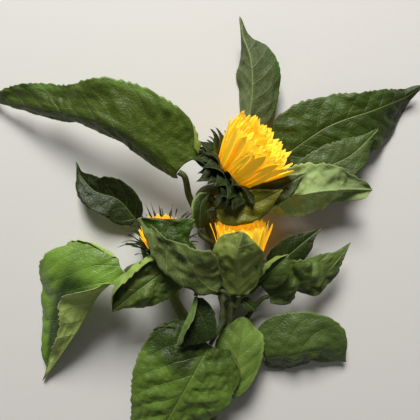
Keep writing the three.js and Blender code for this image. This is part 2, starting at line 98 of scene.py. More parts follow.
# Leaves: the stem and share of it that each stalk grows on, where the stalk passes, the
# midrib to the tip, the blade's outline, and the fold and curl of its two halves.
LEAVES = {
    "left_long": dict(
        on=("main_stem", 0.8), via=[(-14, 0, 24), (-21, 14, 34)],
        rib=[(-31, 37, 50), (-92, 78, 58), (-160, 98, 38), (-249, 120, 3)],
        wide=98, base=1, swell=0.9, lobe=0.25, point=0.75, roll=[0],
        right=dict(fold=[8, 5], curl=[10, 25], share=[1, 1.02, 0.94, 0.72, 0.86, 0.95]),
        left=dict(fold=[-60, -70], curl=[-15], share=[0.5])),
    "left_low": dict(
        on=("branch_left", 0.72), via=[(-64, -60, 8), (-72, -36, 8)],
        rib=[(-78, -10, 10), (-96, 11, 16), (-120, 20, 18), (-143, 44, 10)],
        wide=44, base=0.7, swell=2, lobe=0.15, point=0.9, roll=[0],
        right=dict(fold=[15], curl=[20]), left=dict(fold=[10], curl=[0])),
    "drooping": dict(
        on=("main_stem", 0.6), via=[(-6, -80, 28), (-54, -53, 43)],
        rib=[(-84, -61, 44), (-106, -80, 48), (-132, -120, 34), (-179, -183, 3)],
        wide=122, base=0.6, swell=2.4, lobe=0.22, point=0.95, roll=[0],
        right=dict(fold=[5, -12], curl=[-20], share=[0.85, 1, 1.18, 1.3, 1.2]),
        left=dict(fold=[0, 95, 150, 153, 150], curl=[5], share=[0.2, 0.3, 0.5, 0.35, 0.4])),
    "left_pointed": dict(
        on=("main_stem", 0.7), via=[(0, -52, 30), (-12, -48, 46)],
        rib=[(-27, -52, 53), (-48, -62, 56), (-68, -76, 60), (-94, -98, 53)],
        wide=80, base=0.7, swell=2, lobe=0.15, point=0.8, roll=[0],
        right=dict(fold=[4], curl=[0], hem=(0.7, 140)),
        left=dict(fold=[-10], curl=[-10], share=[0.6])),
    "front_folded": dict(
        on=("main_stem", 0.585), via=[(16, -91, 40), (18, -84, 53)],
        rib=[(7, -74, 64), (-24, -60, 68), (-48, -38, 70), (-65, -8, 68)],
        wide=104, base=0.9, swell=1.6, lobe=0.1, point=0.6, roll=[0],
        right=dict(fold=[9], curl=[0], share=[0.4, 0.45, 0.55, 1.05, 1]),
        left=dict(fold=[0], curl=[0], hem=(0.2, 160), share=[1, 1.22, 0.95, 0.62, 0.6])),
    "front_upright": dict(
        on=("branch_centre", 0.4), via=[(27, -98, 32)],
        rib=[(28, -84, 42), (26, -58, 60), (25, -40, 74), (30, -20, 82)],
        wide=52, base=0.85, swell=2, lobe=0.18, point=0.5, roll=[180],
        right=dict(fold=[25], curl=[10]), left=dict(fold=[5], curl=[15])),
    "front_behind": dict(
        on=("branch_centre", 0.8), via=[(41, -83, 27)],
        rib=[(49, -74, 34), (58, -62, 45), (66, -53, 49), (76, -43, 49)],
        wide=34, base=0.7, swell=2, lobe=0.12, point=0.8, roll=[0],
        right=FLAT, left=dict(fold=[0], curl=[0], hem=(0.6, 140))),
    "right_small": dict(
        on=("branch_centre", 0.5), via=[(38, -85, 17)],
        rib=[(62, -62, 22), (77, -49, 24), (91, -37, 25), (109, -22, 24)],
        wide=34, base=0.6, swell=2.4, lobe=0.12, point=0.9, roll=[0],
        right=dict(fold=[-10], curl=[0]), left=dict(fold=[10], curl=[0])),
    "right_twisted": dict(
        on=("main_stem", 0.42), via=[(30, -126, 12)],
        rib=[(60, -88, 28), (86, -79, 36), (111, -68, 34), (140, -39, 26)],
        wide=60, base=0.6, swell=2.4, lobe=0.15, point=0.9, roll=[0, 20, -20],
        right=dict(fold=[-30], curl=[0], share=[0.6]), left=dict(fold=[5], curl=[0])),
    "right_lower": dict(
        on=("main_stem", 0.31), via=[(34, -172, 11)],
        rib=[(58, -155, 18), (84, -149, 25), (112, -145, 24), (144, -161, 8)],
        wide=88, base=0.9, swell=1.6, lobe=0.3, point=0.7, roll=[0],
        right=dict(fold=[-45], curl=[0], share=[0.7]), left=dict(fold=[8], curl=[-15])),
    "bottom_broad": dict(
        on=("main_stem", 0.535), via=[(12, -114, 34)],
        rib=[(0, -133, 42), (-20, -167, 47), (-42, -208, 38), (-80, -284, 3)],
        wide=114, base=1, swell=1.8, lobe=0.22, point=0.9, roll=[0],
        right=dict(fold=[0], curl=[-10], lobe=0.34),
        left=dict(fold=[-8], curl=[-12], share=[0.85])),
    "bottom_back": dict(
        on=("main_stem", 0.27), via=[],
        rib=[(12, -187, 25), (24, -164, 29), (31, -137, 30), (34, -109, 25)],
        wide=50, base=0.7, swell=2, lobe=0.15, point=0.45, roll=[0],
        right=dict(fold=[0], curl=[-10]), left=dict(fold=[-4], curl=[0])),
    "small_folded": dict(
        on=("main_stem", 0.61), via=[(6, -76, 36), (-4, -68, 47)],
        rib=[(-14, -83, 54), (-20, -99, 56), (-27, -114, 55), (-32, -131, 52)],
        wide=62, base=0.6, swell=2.6, lobe=0.15, point=0.6, roll=[0],
        right=dict(fold=[118], curl=[0], share=[0.4]), left=dict(fold=[5], curl=[-10])),
    "tiny": dict(
        on=("branch_centre", 0.4), via=[], stalk=1.3,
        rib=[(32, -91, 30), (37, -94, 31), (42, -98, 30), (47, -103, 27)],
        wide=13, base=0.6, swell=2.6, lobe=0, point=0.8, roll=[0],
        right=FLAT, left=FLAT),
    "top": dict(
        on=("main_stem", 0.94), via=[(6, 24, 9), (26, 50, 9)],
        rib=[(38, 82, 20), (43, 118, 28), (41, 153, 30), (31, 184, 24)],
        wide=62, base=0.6, swell=2.6, lobe=0.05, point=0.8, roll=[180],
        right=dict(fold=[65], curl=[0]), left=dict(fold=[10], curl=[15])),
    "right_broad": dict(
        on=("main_stem", 0.88), via=[(14, 8, 9), (45, 28, 8)],
        rib=[(79, 58, 18), (122, 86, 26), (167, 102, 26), (220, 124, 8)],
        wide=66, base=0.8, swell=1.6, lobe=0.2, point=0.7, roll=[0],
        right=dict(fold=[-10, -10, -50], curl=[0], share=[1, 1.12, 1.24, 1.32, 1.5, 1.8]),
        left=dict(fold=[5], curl=[0], share=[1.5, 1.15, 0.86, 0.68, 0.68, 0.75])),
    "right_tucked": dict(
        on=("main_stem", 0.84), via=[(14, -5, 8), (54, 10, 14)],
        rib=[(87, 32, 26), (112, 42, 31), (140, 54, 32), (166, 77, 28)],
        wide=40, base=0.6, swell=2.4, lobe=0.12, point=0.7, roll=[0],
        right=FLAT, left=FLAT),
    "right_pale": dict(
        on=("main_stem", 0.9), via=[(13, 7, 22), (27, 5, 27)],
        rib=[(46, 6, 34), (80, 13, 42), (115, 19, 46), (156, 21, 34)],
        wide=60, base=0.4, swell=2.6, lobe=0, point=0.8, roll=[180],
        right=dict(fold=[12], curl=[0]), left=dict(fold=[50], curl=[0])),
    "collar_dark": dict(
        on=("main_stem", 0.92), via=[(8, 7, 36)],
        rib=[(21, 4, 44), (45, 11, 52), (68, 21, 55), (92, 35, 54)],
        wide=20, base=0.6, swell=2.4, lobe=0, point=0.8, roll=[0],
        right=FLAT, left=dict(fold=[-10], curl=[0])),
    "collar_olive": dict(
        on=("main_stem", 0.85), via=[(3, -3, 30), (0, -9, 45)],
        rib=[(6, 0, 52), (19, 2, 58), (41, 6, 63), (68, 19, 65)],
        wide=27, base=0.6, swell=2.4, lobe=0, point=0.8, roll=[0],
        right=FLAT, left=FLAT),
    "collar_left": dict(
        on=("main_stem", 0.74), via=[(0, -32, 24)],
        rib=[(-10, -18, 32), (-10, -5, 38), (-8, 8, 41), (0, 17, 40)],
        wide=18, base=0.6, swell=2.4, lobe=0, point=0.6, roll=[0],
        right=FLAT, left=FLAT),
}

# How each blade is finished: its greens, upper side and underside, some set lighter or
# darker than the leaf's own green as painted light and painted shade for where it lies; the
# relief of its puckers, the waves of its margin and the depth of its teeth, in millimetres;
# factors on its greens for the left half, the right half, the base and the tip, partly the
# leaf's own tones and partly painted light and painted shade; how far its tip is drawn out;
# and sharp folds across it, as share of length, depth and spread. trim: factors on a half's
# width along it. calm: factors on the margin's waves, left and right. rims: stretches of the
# margin in a colour of their own, some a paler margin, some a painted highlight and some a
# painted shadow, as side (1 is left), start, end, inner share and colour; a share below zero
# colours from the midrib out to it instead.
FINISH = {
    # Painted light: the base is lightened for light glowing through it; the lighter green along the
    # right half's margin is partly its own paler green and partly painted light where it turns up
    # to the window; the pale line at the left half's margin is brightened to show in its shade, a
    # painted highlight.
    "left_long": dict(
        upper=(76, 94, 28), under=(104, 122, 44), pucker=1.2, wave=2.6, teeth=1.4,
        tint_and_painted_light=(0.9, 1, 1.5, 0.9), creases=[(0.62, -3, 0.05)], calm=(0.15, 0.8), crumple=1.0,
        stalk=3.4, rims_and_painted_light=[(-1, 0.12, 0.5, 0.8, (112, 142, 62)),
        (-1, 0.56, 0.86, 0.7, (104, 136, 62)), (1, 0.05, 0.98, 0.84, (226, 228, 150))]),
    # Painted shade: the upper green is darkened for the shade of the long leaf above it.
    "left_low": dict(
        upper=(32, 42, 11), under=(92, 108, 54), pucker=0.8, wave=1.2, teeth=1.0,
        tint_and_painted_light=(1.25, 0.8, 1, 1), draw=(3, 6, 5)),
    # Painted light and shade: the upper green is lightened for the sheen on top of the arch, a
    # painted highlight; the underside green of the folded-over flap is lightened against the shade
    # it lies in; the dark stretch from the midrib out on the right half is painted shade under the
    # flap.
    "drooping": dict(
        upper=(112, 146, 52), under=(196, 218, 118), pucker=1.0, wave=1.6, teeth=1.8,
        tint_and_painted_light=(1, 1, 1.1, 0.85), crumple=0.5, rims_and_painted_light=[(-1, 0.3, 0.95, -0.5, (50, 74, 24)),
        (1, 0.2, 0.95, 0.86, (196, 214, 136))]),
    "left_pointed": dict(
        upper=(80, 98, 36), under=(140, 164, 76), pucker=1.4, wave=1.8, teeth=1.3, crumple=1.8,
        trim_right=[0.9, 0.85, 0.85, 1]),
    "front_folded": dict(
        upper=(54, 78, 20), under=(96, 110, 54), pucker=1.6, wave=1.8, teeth=1.0, crumple=2.6),
    "front_upright": dict(
        upper=(78, 100, 36), under=(146, 162, 78), pucker=0.9, wave=1.0, teeth=0.8,
        tint_and_painted_light=(0.9, 1.1, 1, 1), crumple=0.9),
    "front_behind": dict(
        upper=(70, 90, 32), under=(120, 142, 62), pucker=0.6, wave=0.8, teeth=0.8),
    "right_small": dict(
        upper=(40, 54, 14), under=(80, 96, 46), pucker=0.8, wave=1.0, teeth=0.9, draw=(5, 4, 1)),
    "right_twisted": dict(
        upper=(84, 102, 44), under=(108, 124, 66), pucker=1.6, wave=2.6, teeth=1.6,
        tint_and_painted_light=(1.15, 0.8, 0.9, 1), draw=(3, 6, 2), crumple=1.6, creases=[(0.4, -7, 0.045),
        (0.6, 3, 0.06), (0.75, -3, 0.05)]),
    "right_lower": dict(
        upper=(76, 96, 42), under=(100, 116, 62), pucker=1.4, wave=1.4, teeth=1.2, crumple=1.0),
    # Painted shadow: the darker base and the dark stretch over the base of the right half stand for
    # the shadow of small_folded.
    "bottom_broad": dict(
        upper=(98, 126, 46), under=(112, 132, 66), pucker=2.0, wave=1.1, teeth=1.5,
        tint_and_painted_light=(1, 0.95, 0.6, 1.1), crumple=1.0, rims_and_painted_light=[(-1, -0.2, 0.38, 0.02, (42, 60, 16))]),
    "bottom_back": dict(
        upper=(110, 138, 56), under=(112, 134, 66), pucker=1.1, wave=1.3, teeth=1.1,
        rims_and_painted_light=[(-1, 0.1, 0.95, 0.86, (146, 170, 94))]),
    "small_folded": dict(
        upper=(34, 50, 12), under=(104, 132, 62), pucker=0.8, wave=1.0, teeth=1.0),
    "tiny": dict(
        upper=(56, 74, 28), under=(92, 108, 54), pucker=0.2, wave=0.3, teeth=0.3),
    "top": dict(
        upper=(74, 96, 40), under=(104, 120, 74), pucker=1.0, wave=1.0, teeth=0.9,
        tint_and_painted_light=(0.62, 1.05, 1, 0.9), draw=(-1, 13, 3), rims_and_painted_light=[(1, 0.1, 0.8, 0.7, (66, 92, 36))]),
    "right_broad": dict(
        upper=(64, 86, 22), under=(50, 62, 30), pucker=1.2, wave=1.6, teeth=1.5,
        tint_and_painted_light=(1, 0.9, 0.85, 0.4), draw=(2, 5, 7), narrow=0.1, crumple=0.9),
    "right_tucked": dict(
        upper=(72, 90, 38), under=(96, 112, 58), pucker=1.0, wave=1.6, teeth=1.4, draw=(4, 5, 2)),
    # Painted light: the left half, which folds down into shade, has its greens raised to more than
    # twice their value.
    "right_pale": dict(
        upper=(84, 100, 44), under=(150, 172, 104), pucker=2.2, wave=3.2, teeth=1.8,
        tint_and_painted_light=(2.1, 1.0, 0.66, 0.5), draw=(6, -1, 2), crumple=2.8, narrow=0.1,
        creases=[(0.35, 3, 0.06), (0.72, -4, 0.05)]),
    "collar_dark": dict(
        upper=(58, 70, 22), under=(80, 88, 44), pucker=0.8, wave=1.4, teeth=0.8, crumple=1.2,
        trim_left=[1.2], trim_right=[1.3]),
    "collar_olive": dict(
        upper=(120, 118, 14), under=(80, 84, 32), pucker=0.9, wave=1.6, teeth=0.6, crumple=1.6,
        trim_left=[1.1], trim_right=[1.3]),
    "collar_left": dict(
        upper=(56, 70, 26), under=(120, 138, 70), pucker=0.8, wave=1.2, teeth=0.7, crumple=1.2,
        rims_and_painted_light=[(1, 0, 1, 0.7, (130, 150, 80))]),
}

# In millimetres: half of a solid blade's thickness, how early a blade turns level over the
# table, the least half-width of a tip, and the room kept between the looks and the table.
HALF_THICKNESS = 0.9
REST_SOFTNESS = 1.2
LEAST_HALF_WIDTH = 0.8
TABLE_GAP = 0.4
# In millimetres, how far a stem stops short of its head and a stalk short of its blade, and
# how long the straight run is that leads up to each.
HEAD_GAP, HEAD_LEAD = 0.35, 10
BLADE_GAP, BLADE_LEAD = 0.6, 7
# A half-blade's fold and curl add up in this many steps, and go on past the margin by this
# factor to carry the teeth.
ARC_STEPS, ARC_OVERRUN = 120, 1.12
# The share of a tooth's pitch at which it peaks.
TOOTH_PEAK = 0.72
# The least and most rows and columns of a blade's mesh, and half a finished blade's thickness
# in millimetres.
ROW_LIMITS, COLUMN_LIMITS = (24, 190), (8, 40)
SKIN = 0.32
# The crinkles of a blade: share of depth, and size across and along it in millimetres.
CRINKLES = ((1, 26, 34), (0.6, 12, 15), (0.4, 6, 8))
# Side veins: how far along the midrib they run for each millimetre out, on the left half and
# on the right, how strongly they bend on, how far they sway, in millimetres, and the width of
# leaf on which they stand at the full pitch.
VEIN_SLOPES, VEIN_BEND, VEIN_SWAY, VEIN_WIDTH = (0.8, 0.95), 0.006, 3.6, 110
# The margin's waves: length in millimetres and share of height of the quick and slow ones.
QUICK_WAVES, SLOW_WAVES = (6.5, 0.6), (14, 1.5)
# Stems and stalks: sides, spacing of rings in millimetres, and ribs round the limb. A stem
# swells by a height and over a length, in millimetres, where a leaf stalk leaves it.
STEM_FORM = dict(sides=44, step=1.6, ribs=11)
STALK_FORM = dict(sides=16, step=1.5, ribs=5, rib_depth=0.12)
STALK_RADIUS = 2.4
SWELLING = (0.9, 6)
# The turn from one blade of a head to the next, in radians.
GOLDEN_ANGLE = 2.39996
# About a whole turn in radians, for waves and their random phases.
TURN = 6.3


def linear(rgb):
    """A colour of 0 to 255 as linear light."""
    return [((v / 255 + 0.055) / 1.055) ** 2.4 if v > 10 else v / 255 / 12.92 for v in rgb]


def millimetres(length):
    """A length setting, which is in metres, in the layout's millimetres."""
    return round(length / MM, 4)


def smooth(x, low, high):
    """0 below low, 1 above high, and an easy slope between."""
    t = np.clip((np.asarray(x, float) - low) / (high - low), 0, 1)
    return t * t * (3 - 2 * t)


def along(values, t):
    """The value at share t of a list whose entries are spread evenly along a length."""
    values = np.asarray(values, float)
    if len(values) == 1:
        return np.full(np.shape(t), values[0])
    at = np.clip(t, 0, 1) * (len(values) - 1)
    low = np.minimum(np.floor(at).astype(int), len(values) - 2)
    return values[low] + (values[low + 1] - values[low]) * smooth(at - low, 0, 1)


class Curve:
    """A smooth centripetal curve through points."""

    def __init__(self, points):
        self.points = np.array(points, float)
        self.shares = np.linspace(0, 1, 201)
        steps = np.linalg.norm(np.diff(self.at(self.shares), axis=0), axis=1)
        self.lengths = np.concatenate([[0], np.cumsum(steps)])
        self.length = self.lengths[-1]

    def at(self, t):
        """Points at shares of the curve's own parameter."""
        p = self.points
        t = np.atleast_1d(np.asarray(t, float)) * (len(p) - 1)
        k = np.minimum(np.floor(t).astype(int), len(p) - 2)
        w = (t - k)[:, None]
        padded = np.vstack([2 * p[0] - p[1], p, 2 * p[-1] - p[-2]])
        x0, x1, x2, x3 = (padded[k + i] for i in range(4))
        pairs = ((x0, x1), (x1, x2), (x2, x3))
        d0, d1, d2 = (np.sum((b - a) ** 2, axis=1)[:, None] ** 0.25 for a, b in pairs)
        m1 = ((x1 - x0) / d0 - (x2 - x0) / (d0 + d1) + (x2 - x1) / d1) * d1
        m2 = ((x2 - x1) / d1 - (x3 - x1) / (d1 + d2) + (x3 - x2) / d2) * d1
        c2 = -3 * x1 + 3 * x2 - 2 * m1 - m2
        c3 = 2 * x1 - 2 * x2 + m1 + m2
        return x1 + m1 * w + c2 * w**2 + c3 * w**3

    def tangent(self, t):
        """Unit tangents at shares of the curve's own parameter."""
        t = np.atleast_1d(np.asarray(t, float))
        nudge = 1e-4
        step = self.at(np.minimum(t + nudge, 1)) - self.at(np.maximum(t - nudge, 0))
        return step / np.linalg.norm(step, axis=1)[:, None]

    def share_at(self, u):
        """The curve's own parameter at shares of its length."""
        return np.interp(np.asarray(u, float) * self.length, self.lengths, self.shares)


def axes_at(tangent, roll):
    """Side, to the left, and up at each tangent, both rolled by an angle in degrees."""
    side = np.stack([-tangent[:, 1], tangent[:, 0], np.zeros(len(tangent))], axis=1)
    side /= np.linalg.norm(side, axis=1)[:, None]
    up = np.cross(tangent, side)
    c, s = np.cos(np.radians(roll))[:, None], np.sin(np.radians(roll))[:, None]
    turned = side * c + up * s
    return turned, np.cross(tangent, turned)


def facing(head):
    """The way a head faces."""
    lift, heading = math.radians(head["lift"]), math.radians(head["heading"])
    return np.array([
        math.cos(lift) * math.cos(heading), math.cos(lift) * math.sin(heading), math.sin(lift)])


def stem_curve(name):
    """A stem's centre line, from its foot to the back of its head."""
    stem = STEMS[name]
    head = HEADS[stem["head"]]
    back = np.array(head["at"], float)
    ahead = facing(head)
    return Curve([*stem["through"], back - HEAD_LEAD * ahead, back - HEAD_GAP * ahead])


def stalk_curve(leaf):
    """A leaf stalk's centre line, from inside its stem to its blade."""
    rib = Curve(leaf["rib"])
    start, tangent = rib.at(0)[0], rib.tangent(0)[0]
    stem, share = leaf["on"]
    curve = stem_curve(stem)
    foot = curve.at(curve.share_at(share))[0]
    return Curve([foot, *leaf["via"], start - BLADE_LEAD * tangent, start - BLADE_GAP * tangent])


# ---------------------------------------------------------------- the shape of a blade


def half_width(leaf, t):
    """Half the blade's width at shares of its midrib."""
    base, swell, point = leaf["base"], leaf["swell"], leaf["point"]

    def shape(u):
        return (1 - u) ** point * (base + swell * u)

    widest = max(0.0, (swell - point * base) / (swell * (1 + point)))
    return np.maximum(leaf["wide"] / 2 * shape(t) / shape(widest), LEAST_HALF_WIDTH)


def half_section(half, t):
    """A half-blade's section at shares of its midrib: distances from the midrib as shares of
    its width, and how far out and up the section has come at each."""
    reach = (np.arange(ARC_STEPS * ARC_OVERRUN) + 0.5) / ARC_STEPS
    angle = along(half["fold"], t)[:, None] + along(half["curl"], t)[:, None] * reach
    if "hem" in half:
        start, turn = half["hem"]
        angle = angle + turn * smooth(reach, start - 0.1, start + 0.1)
    out, up = (
        np.hstack([np.zeros((len(t), 1)), np.cumsum(wave(np.radians(angle)), axis=1) / ARC_STEPS])
        for wave in (np.cos, np.sin))
    return np.concatenate([[0], reach + 0.5 / ARC_STEPS]), out, up


def teeth_along(length, run, t, pitch, rng):
    """Forward-pointing teeth, each of its own size, that fade out at the stalk and tip."""
    count = max(3, int(length / pitch))
    sizes = [0.55 + 0.75 * rng.random() for _ in range(count + 2)]
    place = run / length * count + rng.random()
    place = place + 0.35 * np.sin(place * 1.7 + rng.random() * 6) + 0.2 * np.sin(place * 0.61)
    cycle = place - np.floor(place)
    tooth = np.where(cycle < TOOTH_PEAK, cycle / TOOTH_PEAK, (1 - cycle) / (1 - TOOTH_PEAK)) ** 0.9
    size = np.array([sizes[int(p) % len(sizes)] for p in place])
    return (tooth - 0.35) * size * smooth(t, 0.02, 0.2) * smooth(1 - t, 0.0, 0.12)


def blade_grid(leaf, rows, columns, look=None, teeth=0.0, tooth_pitch=7.0, seed=0):
    """The blade's middle surface as a grid of points, rows along it and columns across, with
    each point's distance from the midrib, its run from the stalk and its share of length.
    Without a look it is the solid's own shape."""
    t = np.linspace(0, 1, rows + 1)
    rib = Curve(leaf["rib"])
    tangent = rib.tangent(t)
    centre = rib.at(t)
    side, over = axes_at(tangent, along(leaf["roll"], t))
    run = np.interp(t, rib.shares, rib.lengths)
    points = np.zeros((rows + 1, 2 * columns + 1, 3))
    width_at = np.zeros((rows + 1, 2 * columns + 1))
    rng = random.Random(seed)
    for sign, side_name in ((-1, "right"), (1, "left")):
        half = leaf[side_name]
        width = half_width(leaf, t) * along(half.get("share", [1]), t)
        if look:
            width = width * (1 - 0.42 * (1 - np.clip(t / 0.14, 0, 1)) ** 2.2)
            width = width * (1 - look.get("narrow", 0.45) * smooth(t, 0.78, 1.0))
            width = width * along(look.get("trim_" + side_name, [1]), t)
        edges, out, up = half_section(half, t)
        extra = teeth * teeth_along(rib.length, run, t, tooth_pitch, rng) / np.maximum(width, 6)
        lobe = half.get("lobe", leaf["lobe"]) * width * 4 * (1 - t) ** 3
        for j in range(columns + 1):
            if sign == -1 and j == 0:
                continue
            across = j / columns
            stretched = across * (1 + extra * smooth(across, 0.8, 1.0))
            here_out = np.array([np.interp(s, edges, o) for s, o in zip(stretched, out)])
            here_up = np.array([np.interp(s, edges, u) for s, u in zip(stretched, up)])
            back = lobe * across**3 * (1 - across**3)
            column = columns + sign * j
            points[:, column] = (
                centre
                + side * (sign * width * here_out)[:, None]
                + over * (width * here_up)[:, None]
                - tangent * back[:, None]
            )
            width_at[:, column] = sign * width * stretched
    over_table = points[:, :, 2] - HALF_THICKNESS
    rested = (over_table + np.hypot(over_table, 2 * REST_SOFTNESS)) / 2
    points[:, :, 2] = HALF_THICKNESS + rested
    return points, width_at, run, t


def plant_shift():
    """How far the solids stand from the layout's own origin."""
    found = []
    for name, leaf in LEAVES.items():
        columns = 5 if "hem" in leaf["left"] or "hem" in leaf["right"] else 3
        points = blade_grid(leaf, 8, columns)[0].reshape(-1, 3)
        low, high = (np.array(c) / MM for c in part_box("leaf_" + name))
        found.append((low + high) / 2 - (points.min(0) + points.max(0)) / 2)
    return np.median(np.array(found), axis=0)


SHIFT = plant_shift()


# ---------------------------------------------------------------- meshes


def noise(rng, count):
    """A smooth random function of two values, as a sum of waves."""
    waves = [(rng.uniform(-1, 1), rng.uniform(-1, 1), rng.uniform(0, TURN)) for _ in range(count)]

    def value(a, b):
        return sum(np.sin(TURN * (p * a + q * b) + r) for p, q, r in waves) / count

    return value


def grid_normals(points):
    """Unit normals of a grid of points, out of its upper side."""
    normal = np.cross(np.gradient(points, axis=0), np.gradient(points, axis=1))
    return normal / np.maximum(np.linalg.norm(normal, axis=2), 1e-9)[:, :, None]


def shell_faces(rows, columns, flip):
    """Faces of two skins of a grid and of the rim between them, upper skin first."""
    row_length = columns + 1
    total = (rows + 1) * row_length
    faces = []
    for i in range(rows):
        for j in range(columns):
            a = i * row_length + j
            faces.append((a, a + 1, a + row_length + 1, a + row_length))
    faces += [(total + a, total + d, total + c, total + b) for a, b, c, d in faces]
    for i in range(rows):
        first, last = i * row_length, i * row_length + columns
        faces.append((first, first + row_length, total + first + row_length, total + first))
        faces.append((last, total + last, total + last + row_length, last + row_length))
    for j in range(columns):
        tip = rows * row_length + j
        faces.append((j, total + j, total + j + 1, j + 1))
        faces.append((tip, tip + 1, total + tip + 1, total + tip))
    return [(a, d, c, b) for a, b, c, d in faces] if flip else faces


def new_mesh(name, points, faces, *finishes):
    """A smooth mesh with its finishes."""
    mesh = bpy.data.meshes.new(name)
    mesh.from_pydata([tuple(p) for p in points], [], faces)
    mesh.shade_smooth()
    for finish in finishes:
        mesh.materials.append(bpy.data.materials[finish])
    return mesh


def in_frame(points):
    """Points of the layout, in millimetres, as points of the frame, in metres."""
    return (np.asarray(points) + SHIFT) * MM


def write_attribute(mesh, name, kind, values):
    """Stores one value for each vertex."""
    field = {"FLOAT": "value", "FLOAT_VECTOR": "vector", "FLOAT_COLOR": "color"}[kind]
    attribute = mesh.attributes.new(name, kind, "POINT")
    attribute.data.foreach_set(field, np.asarray(values, np.float32).ravel())


def keep_above(mesh, low):
    """Lifts what would sink into the table."""
    co = np.zeros(len(mesh.vertices) * 3, np.float32)
    mesh.vertices.foreach_get("co", co)
    co = co.reshape(-1, 3)
    co[:, 2] = np.maximum(co[:, 2], low)
    mesh.vertices.foreach_set("co", co.ravel())
    mesh.update()


def link_object(name, data):
    """A new object in the scene."""
    made = bpy.data.objects.new(name, data)
    bpy.context.scene.collection.objects.link(made)
    return made


def seat(name, mesh, slot, *nodes):
    """An object for a finished mesh, riding on the plant in place of its solids."""
    piece = link_object(name, mesh)
    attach(piece, "root")
    if nodes:
        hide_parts(*nodes)


# ---------------------------------------------------------------- leaves


def blade_relief(leaf, look, cut, rng, width, run, t, share):
    """How far a finished blade stands out of its middle surface at each point, and the count
    of side veins up to there."""
    run = run[:, None]
    distance = np.abs(width)
    # Side veins leave the midrib at whole numbers of the count and bend towards the tip.
    patches = noise(rng, 7)
    slope = np.where(width >= 0, *VEIN_SLOPES)
    pitch = millimetres(cut.vein_pitch) * (0.45 + 0.55 * min(1, leaf["wide"] / VEIN_WIDTH))
    sway = VEIN_SWAY * patches(width / 60, run / 60)
    vein = (run - slope * distance - VEIN_BEND * distance**2 + sway) / pitch + rng.random()
    # The skin bulges between the veins and in uneven patches.
    cross = distance / (0.42 * pitch) + 0.8 * patches(width / 30 + 3, run / 40)
    inside = smooth(distance, 1.0, 6.0) * smooth(1 - share, 0.0, 0.2)
    quilt = np.abs(np.sin(np.pi * vein)) ** 0.8 * (0.55 + 0.45 * np.abs(np.sin(np.pi * cross)))
    dapple = patches(width / 17, run / 17)
    relief = look["pucker"] * cut.pucker * inside * (0.9 * (quilt - 0.5) + dapple)
    crinkle = noise(rng, 6)
    folds = sum(depth * np.abs(crinkle(width / a, run / b)) for depth, a, b in CRINKLES)
    relief += look.get("crumple", 0.6) * inside * (2.4 * folds - 0.6)
    # The midrib lies in a groove.
    relief -= 0.6 * np.exp(-((distance / 1.8) ** 2)) * smooth(1 - t, 0, 0.15)[:, None]
    # The margin waves in quick and in slow swings.
    ripple = noise(rng, 5)
    half = np.sign(width)
    (quick_length, quick_height), (slow_length, slow_height) = QUICK_WAVES, SLOW_WAVES
    quick = np.sin(run / quick_length + 2.2 * ripple(run / 60, half))
    slow = np.sin(run / slow_length + 3 * ripple(run / 90, half) + rng.random() * 6)
    calm = np.where(width >= 0, *look.get("calm", (1, 1)))
    wave = look["wave"] * cut.margin_wave * calm * smooth(share, 0.35, 1.0)
    relief += wave * (quick_height * quick + slow_height * slow)
    for place, depth, spread in look.get("creases", ()):
        across = np.abs(t[:, None] - place + 0.05 * share)
        relief += depth * np.exp(-((across / spread) ** 2)) * (0.4 + 0.6 * share)
    return relief * smooth(half_width(leaf, t), 1.0, 8.0)[:, None], vein


def blade_tones(look, width, t, share):
    """A blade's greens, for every point of its upper skin and then of its lower one, with the
    factors on halves, base and tip and the coloured stretches laid on; these hold painted light and
    painted shade as well as the leaf's own tones.
    """
    # Factors on each half, the base and the tip: partly the leaf's own tones, partly painted light
    # and painted shade.
    left, right, base, tip = look.get("tint_and_painted_light", (1, 1, 1, 1))
    ends = 1 + (base - 1) * smooth(1 - t, 0.55, 1.0) + (tip - 1) * smooth(t, 0.5, 1.0)
    factor = ((right + (left - right) * smooth(width, -3, 3)) * ends[:, None]).reshape(-1, 1)
    skins = [np.minimum(factor * linear(look[skin]), 1) for skin in ("upper", "under")]
    # Stretches in a colour of their own: paler margins, painted highlights and painted shadows.
    for sign, start, end, inner, rgb in look.get("rims_and_painted_light", ()):
        rim = smooth(share, abs(inner), abs(inner) + 0.15)
        rim = (rim if inner > 0 else 1 - rim) * (np.sign(width) == sign)
        rim = rim * (smooth(t, start, start + 0.12) * smooth(-t, -end, 0.12 - end))[:, None]
        for skin in skins:
            skin += (np.array(linear(rgb)) - skin) * rim.reshape(-1, 1)
    tones = np.vstack(skins)
    return np.hstack([tones, np.ones((len(tones), 1))])


